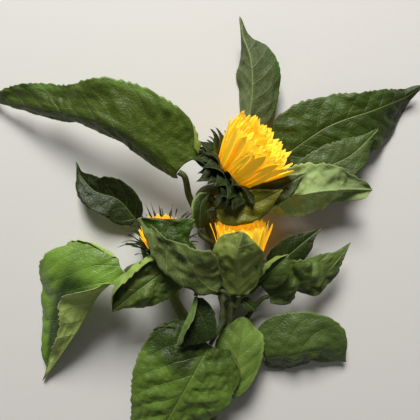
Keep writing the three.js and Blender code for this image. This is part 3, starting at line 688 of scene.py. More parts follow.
def build_blade(name, cut):
    """One leaf blade, with teeth, puckers, a waved margin and an upper and a lower skin."""
    leaf, look = LEAVES[name], FINISH[name]
    step = millimetres(cut.blade_step)
    rows = int(np.clip(Curve(leaf["rib"]).length / step, *ROW_LIMITS))
    columns = int(np.clip(leaf["wide"] / 2 / step / 1.25, *COLUMN_LIMITS))
    teeth, tooth_pitch = look["teeth"] * cut.tooth_depth, millimetres(cut.tooth_pitch)
    points, width, run, t = blade_grid(leaf, rows, columns, look, teeth, tooth_pitch, name)
    share = np.abs(np.linspace(-1, 1, 2 * columns + 1))[None, :] * np.ones((rows + 1, 1))
    relief, vein = blade_relief(leaf, look, cut, random.Random(name), width, run, t, share)
    points = points + grid_normals(points) * relief[:, :, None]
    drawn = smooth(t, 0.86, 1.0) ** 2
    points = points + drawn[:, None, None] * np.array(look.get("draw", (0, 0, 0)), float)
    points[:, :, 2] = np.maximum(points[:, :, 2], TABLE_GAP - SHIFT[2])
    normal = grid_normals(points)
    thick = SKIN * smooth(half_width(leaf, t), 0.4, 4.0)[:, None, None]
    thick = thick * (1.15 - 0.5 * share[:, :, None])
    skins = [points + normal * thick, points - normal * thick]
    skins[1][:, :, 2] = np.maximum(skins[1][:, :, 2], TABLE_GAP / 2 - SHIFT[2])
    mesh = new_mesh(
        "blade_" + name, in_frame(np.vstack([s.reshape(-1, 3) for s in skins])),
        shell_faces(rows, 2 * columns, flip=True), "leaf upper side", "leaf underside")
    mesh.validate()
    place = np.stack([width / 10, vein, share], axis=2).reshape(-1, 3)
    write_attribute(mesh, "blade", "FLOAT_VECTOR", np.vstack([place, place]))
    write_attribute(mesh, "tone", "FLOAT_COLOR", blade_tones(look, width, t, share))
    upper = rows * 2 * columns
    mesh.polygons.foreach_set("material_index", [0] * upper + [1] * (len(mesh.polygons) - upper))
    seat("blade_" + name, mesh, "leaf", "leaf_" + name)


# ---------------------------------------------------------------- stems


def build_limb(curve, radii, rng, sides, step, ribs, rib_depth, swellings=()):
    """A closed, ridged limb along a curve: its points and faces, and for each point its share
    of length and how far in it lies on a cut end."""
    count = max(8, int(curve.length / step))
    u = np.linspace(0, 1, count + 1)
    t = curve.share_at(u)
    centre = curve.at(t)
    side, up = axes_at(curve.tangent(t), np.zeros(len(t)))
    radius = np.interp(u, np.linspace(0, 1, len(radii)), radii)
    for place, height, spread in swellings:
        radius = radius + height * np.exp(-(((u - place) * curve.length / spread) ** 2))
    turn = np.linspace(0, 2 * np.pi, sides, endpoint=False)
    uneven = noise(rng, 5)
    drift = rng.random() * TURN
    rings = []
    for i in range(count + 1):
        run = u[i] * curve.length
        ridge = rib_depth * np.cos(ribs * turn + drift + run / 90)
        rough = 0.03 * radius[i] * uneven(np.cos(turn) + run / 30, np.sin(turn))
        r = radius[i] + ridge + rough
        aside, above = ((r * wave(turn))[:, None] for wave in (np.cos, np.sin))
        rings.append(centre[i] + side[i] * aside + up[i] * above)
    points = [point for ring in rings for point in ring]
    faces = []
    for i in range(count):
        for k in range(sides):
            a, b = i * sides + k, i * sides + (k + 1) % sides
            faces.append((a, b, b + sides, a + sides))
    runs = [i / count for i in range(count + 1) for _ in range(sides)]
    ends = [0.0] * len(runs)
    for row, turned in ((0, True), (count, False)):
        start = len(points)
        inner, middle = start + sides, start + 2 * sides
        points += [*rings[row], *(centre[row] + (rings[row] - centre[row]) * 0.55), centre[row]]
        for k in range(sides):
            m = (k + 1) % sides
            ring = (start + k, start + m, inner + m, inner + k)
            core = (inner + k, inner + m, middle)
            faces += [ring[::-1], core[::-1]] if turned else [ring, core]
        runs += [float(row > 0)] * (2 * sides + 1)
        ends += [0.35] * sides + [0.8] * sides + [1.0]
    return points, faces, runs, ends


def seat_limbs(name, limb, finish, *nodes):
    """A piece made of limbs, kept above the table."""
    points, faces, runs, ends = limb
    points = np.array(points)
    points[:, 2] = np.maximum(points[:, 2], TABLE_GAP / 2 - SHIFT[2])
    mesh = new_mesh(name, in_frame(points), faces, finish)
    mesh.validate()
    write_attribute(mesh, "run", "FLOAT", runs)
    write_attribute(mesh, "cut", "FLOAT", ends)
    seat(name, mesh, "stem", *nodes)


def build_stem(name, cut):
    """A stem or side branch, ridged, swollen where leaf stalks leave it."""
    swellings = [
        (leaf["on"][1], *SWELLING) for leaf in LEAVES.values() if leaf["on"][0] == name]
    limb = build_limb(
        stem_curve(name), STEMS[name]["radius"], random.Random(name), swellings=swellings,
        rib_depth=millimetres(cut.ridge_depth), **STEM_FORM)
    finish = "branch green" if name == "branch_left" else "stem green"
    seat_limbs("whole_" + name, limb, finish, name)


def build_stalks():
    """Every leaf stalk, slim and grooved, in one piece."""
    points, faces, runs, ends = [], [], [], []
    for name, leaf in LEAVES.items():
        radius = FINISH[name].get("stalk", leaf.get("stalk", STALK_RADIUS))
        made = build_limb(
            stalk_curve(leaf), (1.35 * radius, radius, 0.85 * radius),
            random.Random("stalk " + name), **STALK_FORM)
        faces += [tuple(len(points) + i for i in face) for face in made[1]]
        points += made[0]
        runs += made[2]
        ends += [0.0] * len(made[3])
    limbs = (points, faces, runs, ends)
    seat_limbs("leaf_stalks", limbs, "stalk green", *("stalk_" + name for name in LEAVES))


# ---------------------------------------------------------------- finishes


class Wire:
    """A value in a node tree. Arithmetic on it adds Math nodes."""

    def __init__(self, graph, socket):
        self.graph = graph
        self.socket = socket

    def output(self, key):
        """Another output of the same node."""
        return Wire(self.graph, self.socket.node.outputs[key])

    def maths(self, operation, *others, swap=False):
        """One Math node on this value and others."""
        values = [self, *others]
        if swap:
            values.reverse()
        return self.graph.node("ShaderNodeMath", {"operation": operation}, dict(enumerate(values)))

    def __add__(self, other):
        return self.maths("ADD", other)

    def __sub__(self, other):
        return self.maths("SUBTRACT", other)

    def __rsub__(self, other):
        return self.maths("SUBTRACT", other, swap=True)

    def __mul__(self, other):
        return self.maths("MULTIPLY", other)

    def __truediv__(self, other):
        return self.maths("DIVIDE", other)

    def __abs__(self):
        return self.maths("ABSOLUTE")

    __radd__ = __add__
    __rmul__ = __mul__

    def eased(self, low, high):
        """0 at low and 1 at high, eased between."""
        return self.graph.node(
            "ShaderNodeMapRange", {"interpolation_type": "SMOOTHSTEP"},
            {"Value": self, "From Min": low, "From Max": high})


class Graph:
    """A node tree that is built by calls to one method."""

    def __init__(self, tree):
        self.tree = tree

    def node(self, kind, settings=None, values=None, out=0):
        """Adds a node: its settings first, then its sockets' values or links. Returns one of
        its outputs, where it has any."""
        made = self.tree.nodes.new(kind)
        for key, value in (settings or {}).items():
            if key == "stops":
                while len(made.color_ramp.elements) < len(value):
                    made.color_ramp.elements.new(0.5)
                for element, (position, colour) in zip(made.color_ramp.elements, value):
                    element.position = position
                    element.color = (*colour, 1)
            else:
                setattr(made, key, value)
        for key, value in (values or {}).items():
            socket = made.inputs[key]
            if isinstance(value, Wire):
                self.tree.links.new(value.socket, socket)
            else:
                socket.default_value = value
        return Wire(self, made.outputs[out]) if len(made.outputs) else None

    def mix(self, share, first, second, blend="MIX"):
        """Two colours mixed."""
        return self.node(
            "ShaderNodeMix", {"data_type": "RGBA", "blend_type": blend},
            {0: share, 6: colour4(first), 7: colour4(second)}, out=2)

    def body(self):
        """Places on the plant, in metres."""
        return self.node("ShaderNodeTexCoord", out="Object")

    def stored(self, name, out="Fac"):
        """What the mesh stores under a name."""
        return self.node("ShaderNodeAttribute", {"attribute_name": name}, out=out)

    def mottle(self, place, scale, detail):
        """Cloudy noise over places."""
        return self.node(
            "ShaderNodeTexNoise", None, {"Vector": place, "Scale": scale, "Detail": detail})

    def bump(self, strength, distance, height):
        """A normal from a height."""
        return self.node("ShaderNodeBump", None, {
            "Strength": strength, "Distance": distance, "Height": height})

    def vector(self, x, y, z):
        """A vector from its three parts."""
        return self.node("ShaderNodeCombineXYZ", None, {0: x, 1: y, 2: z})


def colour4(value):
    """A colour with its alpha, or a link as it is."""
    return value if isinstance(value, Wire) else (*value, 1)


def new_material(name):
    """The graph of a new, empty material."""
    material = bpy.data.materials.new(name)
    material.use_nodes = True
    material.node_tree.nodes.clear()
    return Graph(material.node_tree)


def finish_material(graph, colour, roughness, specular, normal=None, **others):
    """Ends a material in one shader."""
    values = {"Base Color": colour4(colour), "Roughness": roughness, "Specular IOR Level": specular}
    if normal is not None:
        values["Normal"] = normal
    values.update({key.replace("_", " "): value for key, value in others.items()})
    shader = graph.node("ShaderNodeBsdfPrincipled", None, values)
    graph.node("ShaderNodeOutputMaterial", None, {"Surface": shader})


def blade_material(name, looks, upper):
    """Leaf skin: the blade's stored greens, which carry painted light and painted shade as well as
    its own tones, lighter veins, fine puckers, and a satin or matt finish.
    """
    g = new_material(name)
    body = g.body()
    width = g.node("ShaderNodeSeparateXYZ", None, {0: g.stored("blade", "Vector")})
    count, share = width.output(1), width.output(2)
    bend = g.mottle(body, 55.0, 2.0)
    near = abs((count + (bend - 0.5) * 0.3 + 0.5).maths("FRACT") - 0.5)
    side_vein = (1 - near.eased(0.0, 0.045)) * (1 - share * 0.7)
    midrib = 1 - abs(width).eased(0.02, 0.11)
    cells = g.node(
        "ShaderNodeTexVoronoi", {"feature": "DISTANCE_TO_EDGE"}, {"Vector": body, "Scale": 330.0})
    net = 1 - cells.eased(0.0, 0.16)
    cloud, swell = g.mottle(body, 38.0, 4.0), g.mottle(body, 120.0, 2.0)
    shade = looks.leaf_shade * (0.2 + cloud * 1.35 + swell * 0.3)
    grey = g.node("ShaderNodeCombineColor", None, {0: shade, 1: shade, 2: shade})
    colour = g.mix(1.0, g.stored("tone", "Color"), grey, "MULTIPLY")
    vein_green = looks.vein_upper if upper else looks.vein_under
    margin = share.eased(0.95, 1.0)
    paler = ((net, 0.1, 0.2), (side_vein, 0.34, 0.6), (midrib, 0.5, 0.7), (margin, 0.35, 0.35))
    for line, on_upper, on_under in paler:
        colour = g.mix(line * (on_upper if upper else on_under), colour, vein_green)
    lift = side_vein + midrib * 1.4 + net * 0.3
    height = (0 - lift * 0.7 if upper else lift) + cells * 0.25
    height = height + g.mottle(body, 900.0, 3.0) * 0.03 + swell * 0.9
    normal = g.bump(looks.relief if upper else looks.relief * 0.8, 0.001, height)
    rough = (looks.sheen_rough if upper else 0.62) + (cloud - 0.5) * 0.2 + side_vein * 0.05
    finish_material(g, colour, rough, 0.34 if upper else 0.25, normal)


def limb_material(name, green, foot, hair):
    """Stem skin: streaked along its length, darker at its foot, with a pale cut face."""
    g = new_material(name)
    body = g.body()
    face = g.stored("cut")
    stretched = g.node("ShaderNodeMapping", None, {"Vector": body, "Scale": (1.0, 0.22, 1.0)})
    streak = g.mottle(stretched, 420.0, 4.0)
    speck = g.mottle(body, 1500.0, 2.0)
    colour = g.mix(g.stored("run").eased(0.0, 0.7), foot, green)
    colour = g.mix(streak.eased(0.45, 0.8) * 0.45, colour, hair)
    colour = g.mix(speck.eased(0.62, 0.72) * 0.25, colour, hair)
    colour = g.mix(face.eased(0.2, 0.6), colour, linear((168, 172, 120)))
    colour = g.mix(face.eased(0.7, 0.9), colour, linear((214, 212, 190)))
    normal = g.bump(0.5, 0.0004, streak + speck * 0.5)
    finish_material(g, colour, 0.55 + streak * 0.2, 0.35, normal)


def petal_material(name, looks):
    """Petal skin: orange at the claw, yellow to the tip, with fine ribs along it, and a painted
    glow: an orange emission that stands in for light coming through the petals.
    """
    g = new_material(name)
    cloud = g.mottle(g.body(), 160.0, 3.0)
    ribs = (g.stored("span") * 34.0 + cloud * 1.5).maths("SINE")
    stops = [
        (0.0, linear((150, 84, 8))), (0.12, looks.petal_base), (0.3, looks.petal),
        (1.0, looks.petal_tip)]
    run = g.stored("run") + (cloud - 0.5) * 0.3
    colour = g.node("ShaderNodeValToRGB", {"stops": stops}, {0: run})
    colour = g.mix(ribs.eased(0.3, 1.0) * 0.32, colour, looks.petal_base)
    colour = g.mix((1 - g.stored("outside")) * 0.4, colour, looks.petal_inside)
    normal = g.bump(0.45, 0.0004, ribs * 0.5 + cloud * 0.4)
    # Painted glow: the petals emit an orange light in place of the light that comes through them,
    # lifting the shaded ones.
    glow = g.mix(0.5, colour, linear((255, 182, 18)))
    finish_material(
        g, colour, 0.52 + (cloud - 0.5) * 0.15, 0.3, normal,
        Emission_Color=glow, Emission_Strength=looks.petal_painted_glow)


def bract_material(name, looks):
    """Bract skin: dark matt green, paler at its margin and in fine streaks."""
    g = new_material(name)
    cloud = g.mottle(g.body(), 240.0, 4.0)
    margin = abs(g.stored("span") - 0.5).eased(0.32, 0.5)
    claw = (1 - g.stored("run")).eased(0.5, 1.0)
    colour = g.mix(cloud.eased(0.35, 0.75) * 0.5, looks.bract, looks.bract_edge)
    colour = g.mix(margin * 0.45 + claw * 0.25, colour, looks.bract_edge)
    finish_material(g, colour, 0.62 + (cloud - 0.5) * 0.2, 0.16, g.bump(0.5, 0.0005, cloud))


def plain_material(name, rgb, roughness):
    """One colour with a slight mottle."""
    g = new_material(name)
    base = linear(rgb)
    dark, light = [v * 0.8 for v in base], [min(1, v * 1.15) for v in base]
    finish_material(g, g.mix(g.mottle(g.body(), 600.0, 3.0), dark, light), roughness, 0.3)


# ---------------------------------------------------------------- repeated pieces


def new_tree(name, inputs):
    """The graph of a new Geometry Nodes tree, and its named inputs as wires."""
    tree = bpy.data.node_groups.new(name, "GeometryNodeTree")
    tree.is_modifier = True
    tree.interface.new_socket(name="Geometry", in_out="INPUT", socket_type="NodeSocketGeometry")
    for label, kind in inputs.items():
        tree.interface.new_socket(name=label, in_out="INPUT", socket_type="NodeSocket" + kind)
    tree.interface.new_socket(name="Geometry", in_out="OUTPUT", socket_type="NodeSocketGeometry")
    graph = Graph(tree)
    group = graph.node("NodeGroupInput")
    return graph, {label: group.output(label) for label in inputs}


def close_tree(graph, geometry, material):
    """Ends a tree in real geometry with its material, and returns the tree."""
    real = graph.node("GeometryNodeRealizeInstances", None, {0: geometry})
    done = graph.node("GeometryNodeSetMaterial", None, {"Geometry": real, "Material": material})
    graph.node("NodeGroupOutput", None, {0: done})
    return graph.tree


def whorl_tree():
    """Blades set round a head's axis in a spiral, each leaning out by its place in it."""
    spreads = ("Radius", "Lean", "Height", "Length")
    g, i = new_tree("Whorl of blades", {
        "Blades": "Collection", "Count": "Int",
        **{f"{end} {of}": "Float" for of in spreads for end in ("Inner", "Outer")},
        "Unevenness": "Float", "Seed": "Int", "Finish": "Material"})
    points = g.node("GeometryNodePoints", None, {"Count": i["Count"]})
    index = g.node("GeometryNodeInputIndex")
    share = ((index + 0.5) / i["Count"]).maths("SQRT")

    def uneven(offset):
        return g.node("FunctionNodeRandomValue", {"data_type": "FLOAT"}, {
            2: -1.0, 3: 1.0, 7: index, 8: i["Seed"] + offset}, out=1)

    def spread(of):
        inner = i["Inner " + of]
        return inner + (i["Outer " + of] - inner) * share

    turn = index * GOLDEN_ANGLE + uneven(1) * i["Unevenness"]
    radius = spread("Radius")
    lean = spread("Lean") + uneven(2) * i["Unevenness"] * 1.2
    length = spread("Length") * (1 + uneven(3) * i["Unevenness"])
    place = g.vector(turn.maths("COSINE") * radius, turn.maths("SINE") * radius, spread("Height"))
    placed = g.node("GeometryNodeSetPosition", None, {"Geometry": points, "Position": place})
    blades = g.node("GeometryNodeCollectionInfo", None, {
        "Collection": i["Blades"], "Separate Children": True, "Reset Children": True})
    pick = g.node("FunctionNodeRandomValue", {"data_type": "INT"}, {
        4: 0, 5: 6, 7: index, 8: i["Seed"] + 6}, out=2)
    whorl = g.node("GeometryNodeInstanceOnPoints", None, {
        "Points": placed, "Instance": blades, "Pick Instance": True, "Instance Index": pick,
        "Rotation": g.vector(uneven(4) * i["Unevenness"], lean, turn),
        "Scale": g.vector(length, length * (1 + uneven(5) * 0.15), length)})
    return close_tree(g, whorl, i["Finish"])


def hair_tree():
    """Short, stiff hairs over a surface, each leaning its own way."""
    g, i = new_tree("Hairs on a surface", {
        "Skin": "Object", "Hair": "Object", "Density": "Float", "Length": "Float", "Seed": "Int",
        "Finish": "Material"})
    skin, hair = (
        g.node("GeometryNodeObjectInfo", None, {"Object": i[key]}, out="Geometry")
        for key in ("Skin", "Hair"))
    scatter = g.node("GeometryNodeDistributePointsOnFaces", None, {
        "Mesh": skin, "Density": i["Density"], "Seed": i["Seed"]}, out="Points")
    lean = g.node("FunctionNodeRandomValue", {"data_type": "FLOAT_VECTOR"}, {
        0: (-0.6, -0.6, 0.0), 1: (0.6, 0.6, 6.28), 8: i["Seed"]}, out=0)
    turned = g.node("FunctionNodeRotateRotation", {"rotation_space": "LOCAL"}, {
        0: scatter.output("Rotation"), 1: lean})
    size = g.node("FunctionNodeRandomValue", {"data_type": "FLOAT"}, {
        2: 0.45, 3: 1.2, 8: i["Seed"] + 3}, out=1)
    hairs = g.node("GeometryNodeInstanceOnPoints", None, {
        "Points": scatter, "Instance": hair, "Rotation": turned, "Scale": size * i["Length"]})
    return close_tree(g, hairs, i["Finish"])


def run_tree(tree, name, values):
    """Runs a tree on an empty mesh and returns its result as a plain mesh."""
    carrier = link_object(name, bpy.data.meshes.new(name + " carrier"))
    modifier = carrier.modifiers.new(tree.name, "NODES")
    modifier.node_group = tree
    for item in tree.interface.items_tree:
        if item.in_out == "INPUT" and item.name in values:
            modifier[item.identifier] = values[item.name]
    graph = bpy.context.evaluated_depsgraph_get()
    mesh = bpy.data.meshes.new_from_object(carrier.evaluated_get(graph), depsgraph=graph)
    bpy.data.objects.remove(carrier)
    if not len(mesh.polygons):
        raise RuntimeError(name + " came out empty")
    mesh.name = name
    return mesh


# ---------------------------------------------------------------- heads

# The blades that heads are made of, of length 1: shares of their length with their outline
# there, the limits of their curl in radians, their mesh, how many there are to pick from,
# their width, waves and twist, and what they add to the seed.
PATTERNS = {
    "petal": dict(
        outline=([0, 0.12, 0.4, 0.74, 0.92, 1], [0.45, 0.75, 1, 0.95, 0.6, 0.08]),
        curls=(-0.4, 0.1), rows=9, columns=4, variants=7, width=0.22, wave=0.012, turn=0.2, seed=0),
    "broad bract": dict(
        outline=([0, 0.12, 0.35, 0.6, 0.8, 1], [0.8, 1, 1, 0.7, 0.26, 0.02]), curls=(0.5, 2.2),
        rows=11, columns=4, variants=7, width=0.72, wave=0.05, turn=0.7, seed=1),
    "slim bract": dict(
        outline=([0, 0.15, 0.3, 0.5, 0.75, 1], [0.8, 1, 0.8, 0.4, 0.16, 0.04]), curls=(0.2, 1.0),
        rows=11, columns=2, variants=7, width=0.2, wave=0.03, turn=0.7, seed=3),
    "floret": dict(
        outline=([0, 0.5, 1], [1, 0.9, 0.5]), curls=(0.05, 0.15),
        rows=2, columns=1, variants=2, width=0.28, wave=0.0, turn=0.7, seed=2),
}

# How each head is filled: its counts, the bracts' reach in millimetres and lean in radians,
# factors on the petals' length and lean, and which bract it has.
HEAD_PLANS = {
    "top": dict(
        petals=120, longer=0.84, open=1.25, bracts=64, reach=33, lean=(0.3, 1.3),
        kind="broad bract"),
    "centre": dict(
        petals=96, longer=0.97, open=0.6, bracts=40, reach=15, lean=(0.0, 0.3),
        kind="broad bract"),
    "left": dict(
        petals=70, longer=1.08, open=0.5, bracts=52, reach=40, lean=(0.0, 0.6),
        kind="slim bract"),
}

# Florets of a head, and what bracts and florets add to its seed.
FLORETS = 260
BRACT_SEED, FLORET_SEED = 20, 40

# The cup's outline, as shares of the disc's radius and of the head's depth.
CUP = [(0.3, 0), (0.6, 0.06), (0.84, 0.25), (0.97, 0.5), (1.0, 0.7), (0.97, 0.86), (0.85, 0.95)]
CUP_SIDES = 48


def blade_patterns(name, form, seed):
    """A collection of slim closed blades along +Z that curl out towards +X."""
    collection = bpy.data.collections.new(name)
    bpy.context.scene.collection.children.link(collection)
    rng = random.Random(seed + form["seed"])
    rows, columns = form["rows"], form["columns"]
    for n in range(form["variants"]):
        phase = rng.random() * TURN
        curl = rng.uniform(*form["curls"])
        twist = rng.uniform(-form["turn"], form["turn"])
        points, stored = [], {"run": [], "span": [], "outside": []}
        for layer in (1, -1):
            for i in range(rows + 1):
                u = i / rows
                angle = curl * u * u
                rise = u * (1 - 0.25 * min(1, abs(angle)))
                spine = np.array([math.sin(angle) * u * 0.55, 0, rise])
                half = form["width"] / 2 * float(np.interp(u, *form["outline"]))
                side = np.array([math.sin(twist * u), math.cos(twist * u), 0])
                for j in range(columns + 1):
                    v = j / columns * 2 - 1
                    ripple = form["wave"] * math.sin(7 * u + phase + 2.5 * v) * u
                    cup = -0.35 * half * (1 - v * v) * (1 - u)
                    thick = 0.012 * (1 - abs(v)) * (1 - 0.6 * u)
                    points.append(spine + side * v * half + [ripple + cup + layer * thick, 0, 0])
                    for key, value in zip(stored, (u, j / columns, 0.5 + 0.5 * layer)):
                        stored[key].append(value)
        mesh = new_mesh(f"{name} {n}", points, shell_faces(rows, columns, flip=False))
        for key, values in stored.items():
            write_attribute(mesh, key, "FLOAT", values)
        collection.objects.link(bpy.data.objects.new(f"{name} {n}", mesh))
    return collection


def drop_patterns(collection):
    """Removes blades that were only copied from."""
    for pattern in list(collection.objects):
        bpy.data.objects.remove(pattern)
    bpy.data.collections.remove(collection)


def head_matrix(head):
    """Takes +Z to the way the head faces, with its place in the frame."""
    turned = Vector(facing(head)).to_track_quat("Z", "Y").to_matrix().to_4x4()
    return Matrix.Translation(Vector(in_frame(head["at"]))) @ turned


def build_whorl(tree, name, slot, matrix, finish, values, *nodes):
    """One whorl of a head. A pair of values holds for its innermost and its outermost blade."""
    inputs = {"Finish": bpy.data.materials[finish]}
    for key, value in values.items():
        if isinstance(value, tuple):
            inputs["Inner " + key], inputs["Outer " + key] = value
        else:
            inputs[key] = value
    mesh = run_tree(tree, name, inputs)
    mesh.transform(matrix)
    keep_above(mesh, TABLE_GAP * MM)
    seat(name, mesh, slot, *nodes)


def build_cup(name, head, matrix):
    """The green receptacle that carries the bracts and the florets."""
    disc, depth = head["disc"], head["depth"]
    points = [(0, 0, 0)]
    for share, height in CUP:
        for angle in 2 * np.pi * np.arange(CUP_SIDES) / CUP_SIDES:
            r = disc * share * (1 + 0.015 * math.sin(13 * angle + 9 * height))
            points.append((r * math.cos(angle), r * math.sin(angle), depth * height))
    points.append((0, 0, depth * CUP[-1][1]))
    ring = [(k, (k + 1) % CUP_SIDES) for k in range(CUP_SIDES)]
    faces = [(0, 1 + after, 1 + k) for k, after in ring]
    for start in range(1, (len(CUP) - 1) * CUP_SIDES, CUP_SIDES):
        above = start + CUP_SIDES
        faces += [(start + k, start + after, above + after, above + k) for k, after in ring]
    last = 1 + (len(CUP) - 1) * CUP_SIDES
    faces += [(last + k, last + after, len(points) - 1) for k, after in ring]
    mesh = new_mesh("cup_" + name, np.array(points) * MM, faces, "cup green")
    mesh.transform(matrix)
    seat("cup_" + name, mesh, "bract", "head_" + name)


def build_head(name, tree, patterns, seed):
    """One head: petals, bracts, florets and cup."""
    head, plan = HEADS[name], HEAD_PLANS[name]
    matrix = head_matrix(head)
    disc, depth, petal, flare = (head[k] * MM for k in ("disc", "depth", "petals", "flare"))
    lean, reach = math.atan2(flare - disc, petal * 0.86), plan["reach"] * MM
    build_whorl(tree, "ray_petals_" + name, "petal", matrix, "petal yellow", {
        "Blades": patterns["petal"], "Count": plan["petals"], "Seed": seed, "Unevenness": 0.07,
        "Radius": (0.62 * disc, 0.98 * disc), "Lean": (0.05, plan["open"] * lean),
        "Height": (depth * 0.9, depth * 0.75),
        "Length": (petal * 0.95 * plan["longer"], petal * 1.08 * plan["longer"])}, "petals_" + name)
    build_whorl(tree, "bracts_" + name, "bract", matrix, "bract green", {
        "Blades": patterns[plan["kind"]], "Count": plan["bracts"], "Seed": seed + BRACT_SEED,
        "Unevenness": 0.16, "Radius": (1.0 * disc, 0.98 * disc), "Lean": plan["lean"],
        "Height": (depth * 0.72, depth * 0.25), "Length": (reach, reach * 0.78)})
    build_whorl(tree, "florets_" + name, "petal", matrix, "floret brown", {
        "Blades": patterns["floret"], "Count": FLORETS, "Seed": seed + FLORET_SEED,
        "Unevenness": 0.1, "Radius": (0.0, 0.85 * disc), "Lean": (0.0, 0.25),
        "Height": (depth * 0.93, depth * 0.93), "Length": (4 * MM, 5 * MM)})
    build_cup(name, head, matrix)


# ---------------------------------------------------------------- settings


def length_setting(name, description, default, least=0):
    """A length setting, in metres."""
    return FloatProperty(
        name=name, description=description, default=default, min=least, subtype="DISTANCE",
        unit="LENGTH")


def plain_setting(name, description, default, most=10):
    """A setting that is a plain number."""
    return FloatProperty(name=name, description=description, default=default, min=0, max=most)


def colour_setting(name, description, rgb):
    """A colour setting."""
    return FloatVectorProperty(
        name=name, description=description, default=linear(rgb), min=0, max=1, subtype="COLOR")


class SunflowerCut(bpy.types.PropertyGroup):
    """Sizes of the plant's finer shapes, and factors on them."""

    blade_step: length_setting("Blade Step", "Spacing of a leaf's mesh", 0.0015, 0.0008)
    tooth_depth: plain_setting("Tooth Depth", "Factor on the depth of the leaf teeth", 1.25)
    tooth_pitch: length_setting("Tooth Pitch", "Spacing of the leaf teeth", 0.008, 0.003)
    vein_pitch: length_setting(
        "Vein Pitch", "Spacing of the side veins on the largest leaf", 0.023, 0.005)
    pucker: plain_setting("Pucker", "Factor on the bulge of a leaf between its veins", 1.0)
    margin_wave: plain_setting("Margin Wave", "Factor on the waves of a leaf's margin", 1.0)
    ridge_depth: length_setting("Ridge Depth", "Depth of the ridges on a stem", 0.00018)
    hair_density: plain_setting("Hair Density", "Hairs on each square metre of stem", 260000, 1e6)
    hair_length: length_setting("Hair Length", "Length of a stem hair", 0.0016)
    seed: IntProperty(name="Seed", description="Changes every random choice", default=5)


class SunflowerLooks(bpy.types.PropertyGroup):
    """Colours and finishes."""

    vein_upper: colour_setting("Vein, Upper", "Veins on a leaf's upper side", (128, 148, 72))
    vein_under: colour_setting("Vein, Under", "Veins on a leaf's underside", (150, 166, 104))
    stem: colour_setting("Stem", "Stem towards the heads", (98, 106, 62))
    stem_foot: colour_setting("Stem Foot", "Stem towards its cut end", (104, 108, 60))
    petal: colour_setting("Petal", "Body of a petal", (255, 208, 42))
    petal_base: colour_setting("Petal Base", "Claw and ribs of a petal", (244, 172, 20))
    petal_inside: colour_setting("Petal Inside", "Inner face of a petal", (255, 216, 54))
    petal_tip: colour_setting("Petal Tip", "Tip of a petal", (255, 212, 62))
    # Painted glow: emission strength that stands in for light coming through the petals.
    petal_painted_glow: plain_setting("Petal Glow", "Light that comes through the petals", 0.33, 1)
    bract: colour_setting("Bract", "Bracts under the petals", (32, 40, 17))
    bract_edge: colour_setting("Bract Edge", "Paler margin of a bract", (78, 94, 46))
    relief: plain_setting("Leaf Relief", "Strength of the veins' relief", 0.6, 1)
    leaf_shade: plain_setting("Leaf Shade", "Factor on the greens of every leaf", 0.92, 2)
    sheen_rough: plain_setting("Leaf Roughness", "Roughness of a leaf's upper side", 0.44, 1)


# ---------------------------------------------------------------- operators

# The greens of limbs without settings: towards the tip, at the foot, and in the streaks.
LIMB_GREENS = {
    "branch green": ((128, 142, 84), (150, 162, 100), (176, 184, 132)),
    "stalk green": ((72, 84, 38), (62, 72, 32), (118, 128, 84)),
}

# Pieces that carry hairs: factors on their density and their length.
HAIRY = {
    "whole_main_stem": (1.0, 1.0), "whole_branch_centre": (1.0, 1.0),
    "whole_branch_left": (1.0, 1.0), "leaf_stalks": (0.8, 0.75), "bracts_top": (0.5, 0.75),
    "bracts_centre": (0.5, 0.75), "bracts_left": (0.5, 0.75),
}

# Half the table's side, in metres; the lamps' places and sizes in metres, powers and colours;
# and the camera, straight above the plant.
TABLE_REACH = 3.0
LAMPS = {
    "window": ((-0.2, 2.05, 1.7), 1.0, 88.0, (0.99, 0.99, 0.985)),
    "room": ((0.9, -0.6, 1.6), 1.6, 0.6, (1.0, 0.97, 0.92)),
}
CAMERA_HEIGHT = 485
CAMERA_LENS = 38.57
CAMERA_SENSOR = 36


class SUNFLOWER_OT_materials(bpy.types.Operator):
    """Make the leaf, stem, petal and bract finishes"""

    bl_idname = "sunflower.materials"
    bl_label = "Make Finishes"

    def execute(self, context):
        looks = context.scene.sunflower_looks
        blade_material("leaf upper side", looks, True)
        blade_material("leaf underside", looks, False)
        limb_material("stem green", looks.stem, looks.stem_foot, linear((142, 150, 104)))
        for name, greens in LIMB_GREENS.items():
            limb_material(name, *(linear(green) for green in greens))
        petal_material("petal yellow", looks)
        bract_material("bract green", looks)
        plain_material("hair", (196, 202, 176), 0.6)
        plain_material("floret brown", (176, 120, 26), 0.7)
        plain_material("cup green", (50, 62, 34), 0.7)
        return {"FINISHED"}


class SUNFLOWER_OT_stems(bpy.types.Operator):
    """Build the main stem, its two branches and the leaf stalks"""

    bl_idname = "sunflower.stems"
    bl_label = "Build Stems"

    def execute(self, context):
        for name in STEMS:
            build_stem(name, context.scene.sunflower_cut)
        build_stalks()
        return {"FINISHED"}


class SUNFLOWER_OT_leaves(bpy.types.Operator):
    """Build every leaf blade"""

    bl_idname = "sunflower.leaves"
    bl_label = "Build Leaves"

    def execute(self, context):
        for name in LEAVES:
            build_blade(name, context.scene.sunflower_cut)
        return {"FINISHED"}


class SUNFLOWER_OT_heads(bpy.types.Operator):
    """Build the three heads: cup, bracts, petals and florets"""

    bl_idname = "sunflower.heads"
    bl_label = "Build Heads"

    def execute(self, context):
        seed = context.scene.sunflower_cut.seed
        tree = whorl_tree()
        patterns = {name: blade_patterns(name, form, seed) for name, form in PATTERNS.items()}
        for name in HEAD_PLANS:
            build_head(name, tree, patterns, seed + len(name))
        for collection in patterns.values():
            drop_patterns(collection)
        return {"FINISHED"}


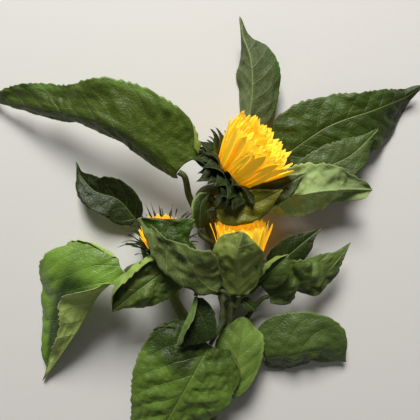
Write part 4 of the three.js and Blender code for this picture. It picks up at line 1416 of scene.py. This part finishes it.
class SUNFLOWER_OT_hairs(bpy.types.Operator):
    """Set short hairs on the stems, the stalks and the bracts"""

    bl_idname = "sunflower.hairs"
    bl_label = "Set Hairs"

    def execute(self, context):
        cut = context.scene.sunflower_cut
        # A hair is a three-sided spike of length 1 with a bent tip.
        hair = link_object("hair", new_mesh(
            "hair", [(0.045, 0, 0), (-0.0225, 0.039, 0), (-0.0225, -0.039, 0), (0.12, 0, 1)],
            [(0, 1, 3), (1, 2, 3), (2, 0, 3), (2, 1, 0)]))
        tree = hair_tree()
        for n, (name, (density, length)) in enumerate(HAIRY.items()):
            made = run_tree(tree, "hairs_on_" + name, {
                "Skin": bpy.data.objects[name], "Hair": hair, "Seed": cut.seed + n,
                "Density": cut.hair_density * density, "Length": cut.hair_length * length,
                "Finish": bpy.data.materials["hair"]})
            keep_above(made, TABLE_GAP / 2 * MM)
            seat("hairs_on_" + name, made, "bract" if "bracts" in name else "stem")
        bpy.data.objects.remove(hair)
        return {"FINISHED"}


class SUNFLOWER_OT_stage(bpy.types.Operator):
    """Lay the pale table, set the lights and place the camera"""

    bl_idname = "sunflower.stage"
    bl_label = "Set Stage"

    def execute(self, context):
        scene = context.scene
        finish_material(new_material("pale table"), linear((226, 223, 217)), 0.6, 0.2)
        r = TABLE_REACH
        corners = [(-r, -r, 0), (r, -r, 0), (r, r, 0), (-r, r, 0)]
        made = [link_object("table", new_mesh("table", corners, [(0, 1, 2, 3)], "pale table"))]
        for name, (place, size, power, colour) in LAMPS.items():
            data = bpy.data.lights.new(name, "AREA")
            data.size, data.energy, data.color = size, power, colour
            lamp = link_object(name, data)
            lamp.location = place
            lamp.rotation_euler = (-Vector(place)).to_track_quat("-Z", "Y").to_euler()
            made.append(lamp)
        scene.world = bpy.data.worlds.new("room light")
        scene.world.use_nodes = True
        background = scene.world.node_tree.nodes["Background"]
        background.inputs["Color"].default_value = (0.98, 0.97, 0.94, 1)
        background.inputs["Strength"].default_value = 0.08
        scene.view_settings.view_transform = "Standard"
        data = bpy.data.cameras.new("camera")
        data.lens, data.sensor_width, data.clip_start = CAMERA_LENS, CAMERA_SENSOR, 0.01
        scene.camera = link_object("camera", data)
        scene.camera.location = Vector(in_frame((0, 0, CAMERA_HEIGHT)))
        return {"FINISHED"}


class SUNFLOWER_PT_panel(bpy.types.Panel):
    """The plant's sizes, colours and building steps"""

    bl_idname = "SUNFLOWER_PT_panel"
    bl_label = "Sunflower"
    bl_space_type = "VIEW_3D"
    bl_region_type = "UI"
    bl_category = "Sunflower"

    def draw(self, context):
        layout = self.layout
        for group in (context.scene.sunflower_cut, context.scene.sunflower_looks):
            for name in group.bl_rna.properties.keys():
                if name not in ("rna_type", "name"):
                    layout.prop(group, name)
        for step in STEPS:
            layout.operator(step.bl_idname)


STEPS = (
    SUNFLOWER_OT_materials,
    SUNFLOWER_OT_stems,
    SUNFLOWER_OT_leaves,
    SUNFLOWER_OT_heads,
    SUNFLOWER_OT_hairs,
    SUNFLOWER_OT_stage,
)
CLASSES = (SunflowerCut, SunflowerLooks, *STEPS, SUNFLOWER_PT_panel)


def register():
    for item in CLASSES:
        bpy.utils.register_class(item)
    bpy.types.Scene.sunflower_cut = PointerProperty(type=SunflowerCut)
    bpy.types.Scene.sunflower_looks = PointerProperty(type=SunflowerLooks)


def unregister():
    del bpy.types.Scene.sunflower_looks
    del bpy.types.Scene.sunflower_cut
    for item in reversed(CLASSES):
        bpy.utils.unregister_class(item)


def main():
    register()
    bpy.ops.sunflower.materials()
    bpy.ops.sunflower.stems()
    bpy.ops.sunflower.leaves()
    bpy.ops.sunflower.heads()
    bpy.ops.sunflower.hairs()
    bpy.ops.sunflower.stage()


if __name__ == "__main__":
    main()
